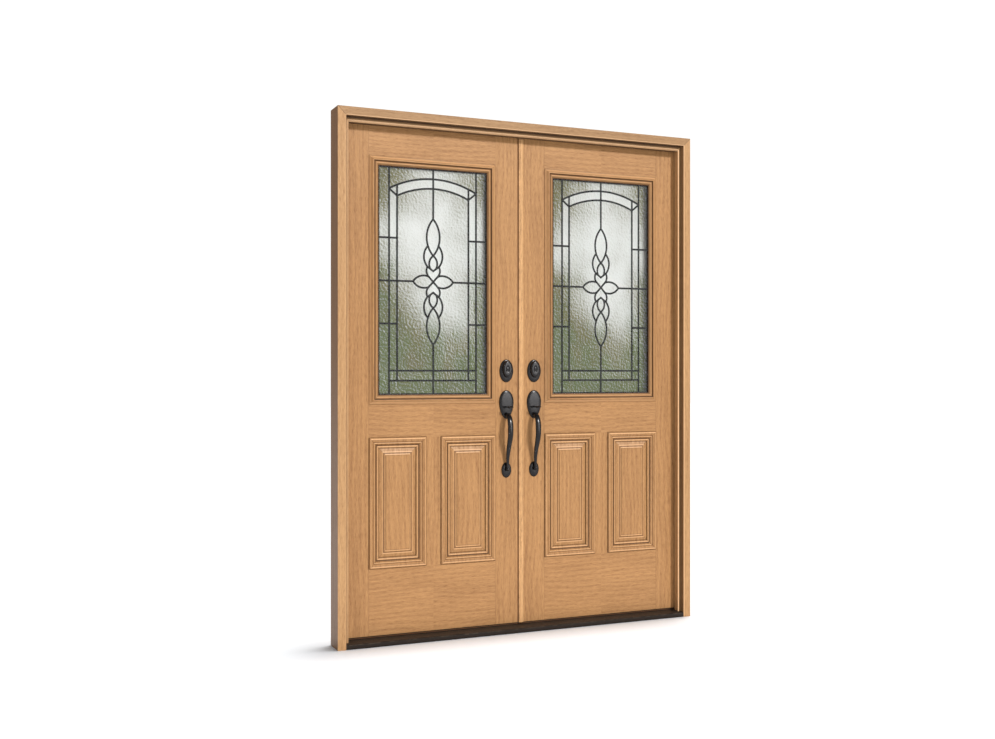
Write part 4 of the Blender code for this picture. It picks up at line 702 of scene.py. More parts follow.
def rippled_glass_group():
    """Textured glass: a ripple from two noises, flatter in the bevelled border and arch, and a tint.

    The tint darkens by the square of the distance from a bright middle, which lies further to the right
    towards the foot, by a smooth step towards the foot and head, by soft blotches, and by painted
    shading of the ripple, as if lit from one side. The border and the arch are clearer. Dark glass is
    olive, and mossy towards the foot.
    """
    inputs = "Point:Vector Bright:Color Shade:Color Moss:Color"
    wiring, given, put = new_group("Rippled glass", inputs, "Color:Color Height:Float")
    point = given["Point"]
    x, _, z = wiring.split(point)
    local = abs(x) - LEAF_CENTRE
    reach = abs(local)
    up = z - GLASS_CENTRE
    under_arch = up < OUTER_ARCH - local * local * 1.38
    over_arch = up > INNER_ARCH - local * local * 1.55
    inside = reach < BORDER_OUTER
    strip = (reach > BORDER_INNER) * inside * under_arch
    band = over_arch * under_arch * inside
    foot = (up > -FOOT_OUTER) * (up < -FOOT_INNER)
    border = wiring.math("MAXIMUM", wiring.largest(strip, band), foot, clamp=True)

    def cloud(place, across, layer, along, detail, roughness=0.5):
        px, _, pz = wiring.split(place)
        return wiring.noise(wiring.vector(px * across, layer, pz * along), 1.0, detail, roughness)

    ripple = cloud(point, 120.0, 0.0, 95.0, 2.0, 0.55)
    fine = wiring.noise(point, 260.0, 1.0)
    blotch = cloud(point, 9.0, 0.0, 6.0, 3.0, 0.6)
    bright_middle = wiring.step(up, -0.30, 0.0, 0.088, 0.024)
    across = (local * wiring.math("SIGN", x) - bright_middle) / 0.175
    across = across * across
    low = wiring.step(up, -0.40, -0.02, 1.12, 0.0)
    high = wiring.step(up, 0.20, 0.42, 0.0, 0.34) * (across + 0.7)
    sides = across * wiring.step(up, -0.03, 0.13, 0.68, 0.20) * wiring.step(up, -0.42, -0.20, 0.45, 1.0)
    dark = wiring.kept_within(low + high + sides + (blotch - 0.45) * 0.9, 0.0, 1.2)
    # Painted shading of the ripple: the ripple less the same ripple at a nearby point darkens or lightens the
    # tint, as if lit from one side.
    beside = wiring.moved(point, (0.0028, 0.0, 0.0020))
    ripple_shading = cloud(point, 120.0, 0.0, 95.0, 3.0, 0.62) - cloud(beside, 120.0, 0.0, 95.0, 3.0, 0.62)
    dark = dark + ripple_shading * (dark * 4.0 + 1.3)
    crown = wiring.largest(band, strip * (up > 0.17)) * 0.62
    dark = dark - crown * dark
    dark = wiring.math("ADD", dark, foot * -0.10, clamp=True)
    mossy = cloud(point, 12.0, 3.0, 8.0, 2.0) + up * -0.55 + (reach > 0.15) * 0.12
    shade = wiring.blend(wiring.step(mossy, 0.45, 0.80), given["Shade"], given["Moss"])
    return put(
        Color=wiring.blend(dark, given["Bright"], shade),
        Height=ripple * (border * -0.75 + 1.0) + fine * 0.10,
    )


GROUPS = {}


def groups():
    if not GROUPS:
        GROUPS["oak"] = oak_grain_group()
        GROUPS["leaf"] = leaf_boards_group()
        GROUPS["mitred"] = mitred_boards_group()
        GROUPS["casing"] = casing_edges_group()
        GROUPS["metal"] = worn_metal_group()
        GROUPS["glass"] = rippled_glass_group()
    return GROUPS


# Materials


def start_material(name):
    old = bpy.data.materials.get(name)
    if old:
        bpy.data.materials.remove(old)
    material = bpy.data.materials.new(name)
    material.use_nodes = True
    tree = material.node_tree
    return material, Wiring(tree), tree.nodes["Principled BSDF"].inputs


def highlight_oak(light, green, blue):
    """A painted highlight: the pale wood, brighter by a factor for each of its parts."""
    return (min(1.0, 1.75 * light[0]), green * light[1], blue * light[2])


def oak_material(name, layout, light, dark, seed=0.0, cased=False):
    """Stained oak. layout is upright, level, leaf or mitred: how the grain lies on the piece."""
    material, wiring, shader = start_material(name)
    point = wiring.object_point()
    boards = layout in ("leaf", "mitred")
    relief = 0.0
    if boards:
        lay = wiring.place(groups()[layout], Point=point)
        across, along, seed, relief = (lay[label] for label in ("Across", "Along", "Seed", "Relief"))
    else:
        x, y, z = wiring.split(point)
        first, along = (x, z) if layout == "upright" else (z, x)
        across = first + y * 0.8
    tones = {"Light": tuple(light), "Dark": tuple(dark)}
    oak = wiring.place(groups()["oak"], Across=across, Along=along, Seed=seed, **tones)
    surface = oak["Color"]
    if boards:
        # Dark joints and stained quirks with painted shade in them, then painted highlights on the ridges.
        stain_and_shade = wiring.largest(lay["Joint"] * 0.35, lay["Quirk"] * 0.88)
        surface = wiring.blend(stain_and_shade, surface, tuple(0.35 * part for part in dark))
        surface = wiring.blend(lay["Ridge"] * 0.65, surface, highlight_oak(light, 1.95, 2.5))
    elif cased:
        # The mitre joint, painted shade in the recess and on the back and outer sides, and painted highlights
        # on the arrises.
        lay = wiring.place(groups()["casing"], Point=point)
        surface = wiring.blend(lay["Stain"], surface, (0.030, 0.012, 0.005))
        surface = wiring.blend(lay["Raw"], surface, (0.155, 0.068, 0.024))
        surface = wiring.blend(lay["Arris"], surface, highlight_oak(light, 1.9, 2.3))
    wiring.fill(
        shader,
        Base_Color=surface,
        Roughness=oak["Roughness"],
        Normal=wiring.bump(oak["Height"] * 0.00022 + relief, 1.0),
        Specular_IOR_Level=0.3,
        Coat_Weight=0.05,
        Coat_Roughness=0.35,
    )
    return material


def metal_material(name, body, rubbed, metallic=0.75, scale=60.0, wear=0.4, relief=0.0002, shine=0.5):
    """Patinated metal, rubbed through in patches."""
    material, wiring, shader = start_material(name)
    tones = {"Body": tuple(body), "Rubbed": tuple(rubbed)}
    metal = wiring.place(groups()["metal"], Point=wiring.object_point(), Scale=scale, Wear=wear, **tones)
    wiring.fill(
        shader,
        Base_Color=metal["Color"],
        Roughness=metal["Roughness"],
        Metallic=metallic,
        Specular_IOR_Level=shine,
        Normal=wiring.bump(metal["Height"], relief, 0.4),
    )
    return material


def seal_material(name="seal_rubber_dark", low=(0.020, 0.014, 0.010), high=(0.060, 0.042, 0.030)):
    """Matt rubber with a faint bloom."""
    material, wiring, shader = start_material(name)
    cloud = wiring.noise(wiring.object_point(), 45.0, 3.0)
    wiring.fill(
        shader,
        Base_Color=wiring.blend(cloud, low, high),
        Roughness=cloud * 0.25 + 0.62,
        Normal=wiring.bump(cloud, 0.0002, 0.3),
    )
    return material


def clear_glass_material():
    """Clear float glass with the least smear on it, as a faint unevenness of the surface."""
    material, wiring, shader = start_material("clear_float_glass")
    smear = wiring.noise(wiring.object_point(), 6.0, 2.0)
    wiring.fill(
        shader,
        Base_Color=wiring.blend(smear, (0.97, 0.99, 0.98), (0.99, 1.0, 0.995)),
        Normal=wiring.bump(smear, 0.0004, 0.1),
        Roughness=0.0,
        IOR=1.5,
        Metallic=0.0,
        Transmission_Weight=1.0,
    )
    return material


def textured_glass_material():
    """Rippled glass that blurs and tints what lies behind it."""
    material, wiring, shader = start_material("rippled_leaded_glass")
    c = colours()
    tones = {"Bright": tuple(c.glass_bright), "Shade": tuple(c.glass_shade), "Moss": tuple(c.glass_moss)}
    glass = wiring.place(groups()["glass"], Point=wiring.object_point(), **tones)
    wiring.fill(
        shader,
        Base_Color=glass["Color"],
        Normal=wiring.bump(glass["Height"], sizes().ripple),
        Roughness=0.42,
        IOR=1.5,
        Metallic=0.0,
        Transmission_Weight=1.0,
    )
    return material


def sill_material():
    """Dark bronze sill: ribs run along it, with dust held between them."""
    material, wiring, shader = start_material("sill_worn_bronze")
    point = wiring.object_point()
    _, y, z = wiring.split(point)
    rib = wiring.math("SINE", y * 1250.0) * 0.5 + 0.5
    dust = wiring.noise(point, 38.0, 4.0, 0.65)
    held = wiring.step(dust, 0.40, 0.66) * (rib * -0.6 + 0.9) * wiring.step(z, 0.012, 0.019)
    wiring.fill(
        shader,
        Base_Color=wiring.blend(held, tuple(colours().sill_metal), tuple(colours().sill_dust)),
        Roughness=held * 0.35 + 0.42,
        Metallic=0.55,
        Normal=wiring.bump(rib * 0.8 + dust * 0.2, 0.0005, 0.6),
    )
    return material


# Pieces


class DOOR_OT_woodwork(bpy.types.Operator):
    """Oak grain on the casing, jambs, leaves and astragal"""

    bl_idname = "door.woodwork"
    bl_label = "Woodwork"

    def execute(self, context):
        c = colours()
        upright = oak_material("oak_casing_upright", "upright", c.casing_light, c.casing_dark, 2.0, True)
        # The head casing and head jamb take a darker copy of the casing's tones: painted shade.
        shaded = [tuple(0.76 * part for part in tone) for tone in (c.casing_light, c.casing_dark)]
        level = oak_material("oak_casing_level", "level", *shaded, 6.0, True)
        skin = oak_material("oak_leaf_skin", "leaf", c.oak_light, c.oak_dark)
        # The astragal takes a lighter copy of the casing's pale tone: a painted highlight.
        pale = tuple(1.35 * part for part in c.casing_light)
        strip = oak_material("oak_astragal", "upright", pale, c.oak_dark, 9.0)
        for word, _ in SIDES:
            dress(upright, f"{word}_casing", f"{word}_jamb")
            dress(skin, f"{word}_slab")
        dress(level, "head_casing", "head_jamb")
        dress(strip, "astragal")
        return {"FINISHED"}


def ring_part(section, half_width, half_height, middle, outward):
    """A moulding carried round a rectangle with mitred corners.

    section is a closed loop of (inset, height). Point (n, corner) stands inset_n in from both sides of
    its corner and height_n out from the face.
    """
    inset, height = np.asarray(section, float).T
    sx = np.array([-1.0, 1.0, 1.0, -1.0])
    sz = np.array([-1.0, -1.0, 1.0, 1.0])
    x = middle[0] + (half_width - inset)[:, None] * sx
    z = middle[2] + (half_height - inset)[:, None] * sz
    y = np.broadcast_to((middle[1] + outward * height)[:, None], x.shape)
    verts = np.stack([x, y, z], axis=-1).reshape(-1, 3)
    return verts, grid_faces(len(inset), 4, wrap_rows=True, wrap_columns=True)


def outside_section():
    """Ogee and bead from the outer edge in, a quirk, a second bead, and the hidden leg."""
    ogee = smooth_profile(
        [(0, 0.0024), (0.0025, 0.003), (0.006, 0.0048), (0.0095, 0.0082), (0.012, 0.0104),
         (0.0145, 0.0119), (0.017, 0.0122), (0.0195, 0.0118), (0.0225, 0.0102)],
        3,
    )
    quirk = [(0.0236, 0.0078), (0.0256, 0.0078)]
    bead = smooth_profile(
        [(0.0262, 0.0090), (0.0274, 0.0098), (0.0286, 0.0092), (0.031, 0.0064), (0.035, 0.0044)], 3
    )
    hidden = [(0.038, 0.003), (0.038, 0.0), (0.0163, 0.0), (0.0163, -0.019), (0.0131, -0.019), (0.0131, SEAT)]
    return [(0.0, SEAT), *ogee, *quirk, *bead, *hidden]


def inside_section():
    """A plain rounded moulding with a deep lip on the inner pane."""
    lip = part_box("right_inside_glazing_frame")[0].y - SLAB_BACK
    ogee = smooth_profile(
        [(0, 0.0024), (0.006, 0.0048), (0.012, 0.0098), (0.0155, 0.011), (0.019, 0.0108),
         (0.024, 0.0084), (0.031, 0.0064)],
        3,
    )
    tongue = [(0.0345, lip), (0.0345, -0.0035), (0.0163, -0.0035), (0.0163, lip)]
    hidden = [(0.038, 0.003), (0.038, lip), *tongue, (0.0131, lip), (0.0131, SEAT)]
    return [(0.0, SEAT), *ogee, *hidden]


class DOOR_OT_glazing_frames(bpy.types.Operator):
    """Moulded frames round the glass, outside and inside, with mitred corners"""

    bl_idname = "door.glazing_frames"
    bl_label = "Glazing frames"

    def execute(self, context):
        c = colours()
        oak = oak_material("oak_glazing_frame", "mitred", c.oak_light, c.oak_dark)
        half = (GLAZING_HIGH - GLAZING_LOW) / 2
        faces = (("outside", outside_section(), OUTSIDE, -1), ("inside", inside_section(), SLAB_BACK, 1))
        for word, side in SIDES:
            for where, section, y, outward in faces:
                part = ring_part(section, half.x, half.z, (side * LEAF_CENTRE, y, GLASS_CENTRE), outward)
                node = f"{word}_{where}_glazing_frame"
                make_piece(f"{word}_{where}_moulding", part, oak, f"{word}_leaf", "oak_skin", [node], 32.0)
        return {"FINISHED"}


def panel_section():
    """A round bead, a quirk, a small bead, a step to an ogee, a deep quirk and a last bead at the bevel,
    closed by the bed of the slab's own steps, a seat's width above them."""
    beads = smooth_profile(
        [(-0.0010, 0.0006), (0.0006, 0.0019), (0.0026, 0.0045), (0.0048, 0.0055), (0.0070, 0.0051),
         (0.0088, 0.0041), (0.0097, 0.0039), (0.0108, 0.0043), (0.0124, 0.0039), (0.0140, 0.0024),
         (0.0158, 0.0012)],
        3,
    )
    ogee = smooth_profile(
        [(0.0172, -0.0008), (0.0182, -0.0013), (0.0198, -0.0008), (0.0216, -0.0011), (0.0236, -0.0030),
         (0.0256, -0.0053), (0.0275, -0.0070)],
        3,
    )
    last = smooth_profile(
        [(0.0300, -0.0074), (0.0316, -0.0063), (0.0338, -0.0052), (0.0360, -0.0053), (0.0378, -0.0062),
         (0.0392, -0.00705)],
        3,
    )
    bed = [(inset, height + PANEL_SEAT) for inset, height in reversed(PANEL_BED)]
    return [*beads, *ogee, *last, *bed]


class DOOR_OT_panel_mouldings(bpy.types.Operator):
    """Fine mouldings round the raised panels on the outside"""

    bl_idname = "door.panel_mouldings"
    bl_label = "Panel mouldings"

    def execute(self, context):
        skin = bpy.data.materials["oak_leaf_skin"]
        for word, side in SIDES:
            for number, hand in ((1, -1), (2, 1)):
                place = (side * LEAF_CENTRE + hand * PANEL_REACH, SLAB_FRONT, PANEL_MIDDLE_HEIGHT)
                part = ring_part(panel_section(), PANEL_HALF_WIDTH, PANEL_HALF_HEIGHT, place, -1)
                name = f"{word}_panel_moulding_{number}"
                make_piece(name, part, skin, f"{word}_leaf", "oak_skin", (), 32.0)
        return {"FINISHED"}


def came_paths():
    """The border's middle line, and the middles of all other cames, from the middle of the glass."""
    border = [(-0.235, -0.4545), (0.235, -0.4545), (0.235, 0.4545), (-0.235, 0.4545)]
    middle = [
        arc((BORDER_OUTER, OUTER_SPRING), (0.0, OUTER_ARCH), (-BORDER_OUTER, OUTER_SPRING), 48),
        arc((BORDER_INNER, INNER_SPRING), (0.0, INNER_ARCH), (-BORDER_INNER, INNER_SPRING), 48),
        [(-BORDER_OUTER, -FOOT_INNER), (BORDER_OUTER, -FOOT_INNER)],
        [(-BORDER_OUTER, -FOOT_OUTER), (BORDER_OUTER, -FOOT_OUTER)],
        [(0.0, TIP), (0.0, CAME_END)],
        [(0.0, -CAME_END), (0.0, -TIP)],
    ]
    right = [
        [(BORDER_OUTER, -CAME_END), (BORDER_OUTER, CAME_END)],
        [(BORDER_INNER, -FOOT_OUTER), (BORDER_INNER, 0.3775)],
        [(BORDER_OUTER, OUTER_SPRING), (BORDER_INNER, INNER_SPRING)],
        [(BAR_END, CORNER_BAR), (BORDER_INNER, CORNER_BAR)],
        [(BAR_END, -CORNER_BAR), (BORDER_INNER, -CORNER_BAR)],
        [(BAR_END, 0.0), (PETAL_TIP, 0.0)],
    ]
    up = [
        arc((0.0, BUD), (0.0275, 0.181), (0.0, TIP)),
        arc(CROSSING, (0.039, 0.107), LOOP_TOP),
        arc((0.012, 0.0515), (0.016, 0.080), (0.0, BUD)),
        [CROSSING, (0.0, HEART)],
        arc(PETAL_ROOT, (0.0285, 0.0455), CROSSING),
        [PETAL_ROOT, (0.0, 0.0)],
        arc((PETAL_TIP, 0.0), (0.0435, 0.0245), PETAL_ROOT),
    ]
    middle, right, up = ([np.array(path) for path in paths] for paths in (middle, right, up))
    right += up + [path * (1.0, -1.0) for path in up]
    return border, middle + right + [path * (-1.0, 1.0) for path in right]


def solder_places():
    """Where cames meet, from the middle of the glass."""
    bars = (CORNER_BAR, 0.0, -CORNER_BAR, -FOOT_INNER, -FOOT_OUTER)
    right = [(BORDER_OUTER, y) for y in (CAME_END, OUTER_SPRING, *bars, -CAME_END)]
    right += [(BORDER_INNER, y) for y in (0.3775, INNER_SPRING, *bars)]
    right.append((PETAL_TIP, 0.0))
    for x, y in (PETAL_ROOT, CROSSING, LOOP_TOP):
        right += [(x, y), (x, -y)]
    heights = (CAME_END, OUTER_ARCH, INNER_ARCH, TIP, BUD, HEART, 0.0)
    heights += (-HEART, -BUD, -TIP, -FOOT_INNER, -FOOT_OUTER, -CAME_END)
    return [(0.0, y) for y in heights] + right + [(-x, y) for x, y in right]


def came_net():
    """All cames and solder joints of one leaf, round the middle of the glass."""
    width, thick, radius = sizes().came_width, sizes().came_thickness, sizes().solder_radius
    border, paths = came_paths()
    # The border came is lead round the glass; its width also gives a dark band at the glass edge that stands
    # in for the shadow of the frame's lip.
    parts = [bar_along(border, 0.0235, thick * 0.9, closed=True)]
    parts += [bar_along(path, width, thick * (0.98 - 0.004 * (n % 5))) for n, path in enumerate(paths)]
    dome = [(0.0, 1.0), (0.55, 0.86), (0.86, 0.5), (1.0, 0.0), (0.86, -0.5), (0.55, -0.86), (0.0, -1.0)]
    verts, faces = turned(dome, 12)
    drop = verts * (radius, radius, thick * 0.53)
    for x, y in solder_places():
        parts.append((np.stack([x + drop[:, 0], drop[:, 2], y + drop[:, 1]], axis=-1), faces))
    return joined(*parts)


class DOOR_OT_leaded_glass(bpy.types.Operator):
    """Panes, textured glass and the lead cames between its pieces"""

    bl_idname = "door.leaded_glass"
    bl_label = "Leaded glass"

    def execute(self, context):
        soft = (0.010, 0.009, 0.008)
        lead = metal_material("came_lead_patina", colours().lead, soft, 0.1, 90.0, 0.35, shine=0.10)
        clear = clear_glass_material()
        textured = textured_glass_material()
        spacer = seal_material()
        verts, faces = came_net()
        depth = (CAME_LOW.y + CAME_HIGH.y) / 2
        for word, side in SIDES:
            net = (verts + (side * LEAF_CENTRE, depth, GLASS_CENTRE), faces)
            make_piece(f"{word}_came_net", net, lead, f"{word}_leaf", "came_lead", [f"{word}_came"])
            dress(clear, f"{word}_outer_pane", f"{word}_inner_pane")
            dress(textured, f"{word}_leaded_pane")
            dress(spacer, f"{word}_glass_spacer")
        return {"FINISHED"}


def rose_part(place, outward, size, proud, sides=56, taper=0.0):
    """A rose from its middle out: a shallow dome, a turned bead and a stepped foot."""
    points = [(0.0, 1.0), (0.45, 0.985), (0.74, 0.92), (0.855, 0.84), (0.885, 0.74), (0.915, 0.70)]
    points += [(0.965, 0.58), (1.0, 0.30), (1.0, 0.14)]
    profile = [(radius, share * proud) for radius, share in points] + [(1.0, SEAT), (0.0, SEAT)]
    part = turned(smooth_capped(profile, 2, 5), sides)
    return on_face(part, place, outward, (size[0] / 2, size[1] / 2), taper)


def inside_rose(side, height, size):
    return rose_part((side * FURNITURE_X, SLAB_BACK, height), 1, size, ROSE_PROUD)


def deadbolt_part(side):
    """Oval rose, raised oval guard nearer its top, and the key plug; its slot is a piece of its own."""
    place = (side * FURNITURE_X, OUTSIDE, DEADBOLT_HEIGHT)
    guard = [(0.0, 0.0170), (0.34, 0.0172), (0.39, 0.0187), (0.66, 0.0188), (0.84, 0.0180)]
    guard += [(0.93, 0.0158), (1.0, 0.0105), (1.0, 0.002), (0.0, 0.002)]
    plug = [(0.0, 0.0182), (0.0060, 0.0182), (0.0072, 0.0176), (0.0072, 0.016), (0.0, 0.016)]
    return joined(
        rose_part(place, -1, TURN_ROSE_SIZE, ROSE_PROUD),
        on_face(turned(smooth_capped(guard, 2, 4), 56), place, -1, (0.0205, 0.035), rise=KEY_RISE),
        on_face(turned(plug, 28), place, -1, rise=KEY_RISE),
    )


def keyway_part(side):
    """A dark sheet on the plug's face for the key slot: painted shade standing in for the slot's depth."""
    x, z = side * FURNITURE_X, DEADBOLT_HEIGHT + KEY_RISE
    return box_part((x - 0.0007, OUTSIDE - 0.0184, z - 0.0040), (x + 0.0007, OUTSIDE - 0.0172, z + 0.0040))


def grip_part(side):
    """The bowed grip: a flattened oval carried along a smooth bow.

    Row i is centre_i + across * w_i * cos a along X + normal_i * d_i * sin a, with the sine squared
    off a little on the front, so that the grip has a broad face and soft edges.
    """
    path = smooth_profile(GRIP, 5)
    z, proud, half_width, half_depth = path.T
    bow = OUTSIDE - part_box("right_handle")[0].y - half_depth.max() - 0.0004
    share = (bow - GRIP_NECK) / (proud.max() - GRIP_NECK)
    proud = np.where(proud > GRIP_NECK, GRIP_NECK + (proud - GRIP_NECK) * share, proud)
    centre = np.stack([np.full_like(z, side * FURNITURE_X), OUTSIDE - proud, z], axis=-1)
    along = np.gradient(centre, axis=0)
    along /= np.linalg.norm(along, axis=1)[:, None]
    normal = np.cross(along, (1.0, 0.0, 0.0))
    sides = 28
    a = np.linspace(0.0, 2 * pi, sides, endpoint=False)
    across = half_width[:, None] * squared(np.cos(a), 0.85)
    out = half_depth[:, None] * squared(np.sin(a), 0.8)
    verts = centre[:, None, :] + across[..., None] * (1.0, 0.0, 0.0) + normal[:, None, :] * out[..., None]
    return verts.reshape(-1, 3), grid_faces(len(path), sides, wrap_columns=True, capped=True)


def ball_part(place, radius, sides=28):
    """A ball as a half circle of radius sin t at height cos t turned about Z."""
    t = np.linspace(0.0, pi, 15)
    verts, faces = turned(np.stack([np.sin(t), np.cos(t)], axis=1), sides)
    return verts * radius + place, faces


def handle_part(side):
    """Egg-shaped plate, bowed grip and the ball over the lower rose, as one casting."""
    x = side * FURNITURE_X
    plate = rose_part((x, OUTSIDE, PLATE_HEIGHT), -1, (0.063, 0.116), ROSE_PROUD, 64, 0.16)
    return joined(plate, grip_part(side), ball_part((x, OUTSIDE - 0.0151, BALL_HEIGHT), 0.0078))


def thumb_part(side):
    """Cupped thumb piece: a sheet of two parameters, reach r and side s.

    Half width grows from the neck to the rest by a smooth step and closes at the tip like a circle.
    Height is cup * flare * (s squared - 0.4) - droop * flare squared, and the sheet has a thickness
    that thins to its rim.
    """
    reach = np.concatenate([[-0.08], np.linspace(0.12, 0.86, 14), [0.91, 0.95, 0.98, 1.0]])
    flare = np.clip((reach - 0.2) / 0.5, 0.0, 1.0)
    flare = flare * flare * (3 - 2 * flare)
    half = 0.0065 + 0.010 * flare
    half *= np.sqrt(np.clip(1.02 - np.clip((reach - 0.7) / 0.31, 0.0, 1.0) ** 2, 0.0, 1.0))
    s = np.linspace(-1.0, 1.0, 15)
    x = side * FURNITURE_X + half[:, None] * s
    y = np.broadcast_to(OUTSIDE - 0.0085 - 0.0435 * reach[:, None], x.shape)
    middle = LOCK_HEIGHT + 0.0045 * flare[:, None] * (s**2 - 0.4) - 0.0055 * (flare**2)[:, None]
    thin = np.sqrt(np.clip(1.05 - reach, 0.05, 1.0))[:, None]
    thick = 0.0017 * np.sqrt(np.clip(1.06 - s**2, 0.0, 1.0)) * thin
    top = np.stack([x, y, middle + thick], axis=-1)
    under = np.stack([x, y, middle - thick], axis=-1)[:, ::-1]
    rows = np.concatenate([top, under], axis=1)
    return rows.reshape(-1, 3), grid_faces(*rows.shape[:2], wrap_columns=True, capped=True)


def knob_part(side, base):
    """A round knob on a waisted neck, from the middle of its face back to its seat."""
    face, radius = 0.062, 0.027
    reach = face - base
    front = ((0.62, 0.05), (0.88, 0.17), (0.995, 0.34), (0.86, 0.53), (0.46, 0.66), (0.40, 0.78))
    points = [(0.0, face), (0.30 * radius, face - 0.0003)]
    points += [(share * radius, face - back * reach) for share, back in front]
    points += [(0.43 * radius, base + 0.06 * reach), (0.53 * radius, base), (0.0, base)]
    part = turned(smooth_capped(points, 2, 5), 56)
    return on_face(part, (side * FURNITURE_X, SLAB_BACK, LOCK_HEIGHT), 1)


def thumb_turn_part(side, base):
    """A short stem and an oval finger plate with rounded edges."""
    place = (side * FURNITURE_X, SLAB_BACK, TURN_HEIGHT)
    stem = [(0.0, 0.018), (0.0062, 0.018), (0.0066, 0.013)]
    stem += [(0.0085, base + 0.001), (0.0085, base), (0.0, base)]
    low, high = base + 0.004, 0.026
    verts, faces = ball_part((0.0, 0.0, 0.0), 1.0)
    plate = squared(verts, 0.9) * (0.00425, (high - low) / 2, 0.019) + place + (0.0, (low + high) / 2, 0.0)
    return joined(on_face(turned(stem, 32), place, 1), (plate, faces))


def screw(place, along, radius=0.0040):
    """A countersunk screw head, a hair proud, its face looking along plus or minus X."""
    verts, faces = turned([(0.0, 0.0002), (0.7, 0.0003), (0.95, 0.0002), (1.0, -0.0008), (0.0, -0.0008)], 20)
    x, y, z = (verts * (radius, radius, along)).T
    return np.stack([place[0] + z, place[1] + x, place[2] + y], axis=-1), faces


class DOOR_OT_locks(bpy.types.Operator):
    """Handles, thumb pieces, deadbolts, roses, knobs, turns and lock plates"""

    bl_idname = "door.locks"
    bl_label = "Lock furniture"

    def execute(self, context):
        c = colours()
        bronze = metal_material(
            "oil_rubbed_bronze", c.bronze, c.bronze_rubbed, 0.45, 75.0, 0.22, 0.0001, 0.45
        )
        # The keyway's near-black finish is painted shade for the depth of the slot.
        dark = metal_material("keyway_shade_sheet", (0.008, 0.007, 0.006), (0.02, 0.018, 0.015), 0.4, 90.0, 0.3)
        plate = metal_material("plate_satin_bronze", (0.10, 0.07, 0.045), (0.24, 0.17, 0.11), 0.85, 80.0, 0.5)

        def furniture(name, part, body, node):
            make_piece(name, part, bronze, body, "dark_bronze", [node])

        for word, side in SIDES:
            leaf = f"{word}_leaf"
            thumb_body = leaf if word == "right" else "left_thumb_piece"
            foot = rose_part((side * FURNITURE_X, OUTSIDE, FOOT_ROSE_HEIGHT), -1, (0.043, 0.063), 0.0070)
            furniture(f"{word}_deadbolt_guard", deadbolt_part(side), leaf, f"{word}_deadbolt")
            furniture(f"{word}_grip_handle", handle_part(side), leaf, f"{word}_handle")
            furniture(f"{word}_thumb_rest", thumb_part(side), thumb_body, f"{word}_thumb_piece")
            furniture(f"{word}_foot_rose", foot, leaf, f"{word}_lower_rose")
            make_piece(f"{word}_keyway", keyway_part(side), dark, leaf, "dark_bronze")
        left_rose = inside_rose(-1, LOCK_HEIGHT, INSIDE_ROSE_SIZE)
        left_turn_rose = inside_rose(-1, TURN_HEIGHT, TURN_ROSE_SIZE)
        clear_base, fixed_base = 0.0088, 0.0065
        furniture("left_knob_rose", left_rose, "left_leaf", "left_inside_rose")
        furniture("left_turn_rose", left_turn_rose, "left_leaf", "left_inside_deadbolt_rose")
        furniture("left_knob", knob_part(-1, clear_base), "left_inside_knob", "left_inside_knob")
        furniture("left_turn", thumb_turn_part(-1, clear_base), "left_thumb_turn", "left_thumb_turn")
        fixed = joined(inside_rose(1, LOCK_HEIGHT, INSIDE_ROSE_SIZE), knob_part(1, fixed_base))
        furniture("right_fixed_knob", fixed, "right_leaf", "right_inside_knob")
        fixed = joined(inside_rose(1, TURN_HEIGHT, TURN_ROSE_SIZE), thumb_turn_part(1, fixed_base))
        furniture("right_fixed_turn", fixed, "right_leaf", "right_thumb_turn")
        plates = (
            ("left_latch_faceplate", "left_leaf", 1, 0.0215),
            ("left_deadbolt_faceplate", "left_leaf", 1, 0.0215),
            ("astragal_strike", "right_leaf", -1, 0.103),
        )
        for node, body, facing, reach in plates:
            dress(plate, node)
            low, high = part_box(node)
            face = high.x if facing > 0 else low.x
            middle = (low + high) / 2
            heads = [screw((face, middle.y, middle.z + rise), facing, 0.0034) for rise in (-reach, reach)]
            make_piece(f"{node}_screws", joined(*heads), plate, body, "plate_bronze")
        return {"FINISHED"}


def barrel(x, y, low, high, radius, sides=32):
    """A knuckle as a turned bar with eased ends."""
    ease = 0.0005
    mid, half = (low + high) / 2, (high - low) / 2
    profile = [(0.0, half), (radius - ease, half), (radius, half - ease), (radius, ease - half)]
    profile += [(radius - ease, -half), (0.0, -half)]
    verts, faces = turned(profile, sides)
    return verts + (x, y, mid), faces


def hinge_part(side, node, frame_half):
    """Half of a butt hinge: its leaf with screws, tabs and knuckles, and on the frame half the pin."""
    low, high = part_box(node)
    pin_head, hinge_length, leaf_width, thick = 0.003, 0.1016, 0.032, 0.0024
    way = 1 if frame_half else -1
    foot = low.z + pin_head if frame_half else (low.z + high.z) / 2 - hinge_length / 2
    head, third = foot + hinge_length, hinge_length / 3
    x, y = side * HINGE_X, high.y - HINGE_KNUCKLE
    back = y - HINGE_KNUCKLE - SEAT
    inner = side * (HINGE_X + way * 0.0015)
    near, far = sorted((inner, inner + side * way * thick))
    parts = [box_part((near, back - leaf_width, foot), (far, back, head))]
    spans = [(foot + third, foot + 2 * third)]
    if frame_half:
        spans = [(foot, foot + third - SEAT), (foot + 2 * third + SEAT, head)]
        parts.append(barrel(x, y, foot - pin_head, head + pin_head, 0.0030, 20))
    for start, end in spans:
        parts.append(box_part((near, back - 0.001, start + SEAT), (far, y, end - SEAT)))
        parts.append(barrel(x, y, start, end, HINGE_KNUCKLE))
    for rise, back_off in ((0.014, 0.011), (0.0508, 0.021), (0.0876, 0.011)):
        parts.append(screw((inner, back - back_off, foot + rise), -way * side))
    return joined(*parts)


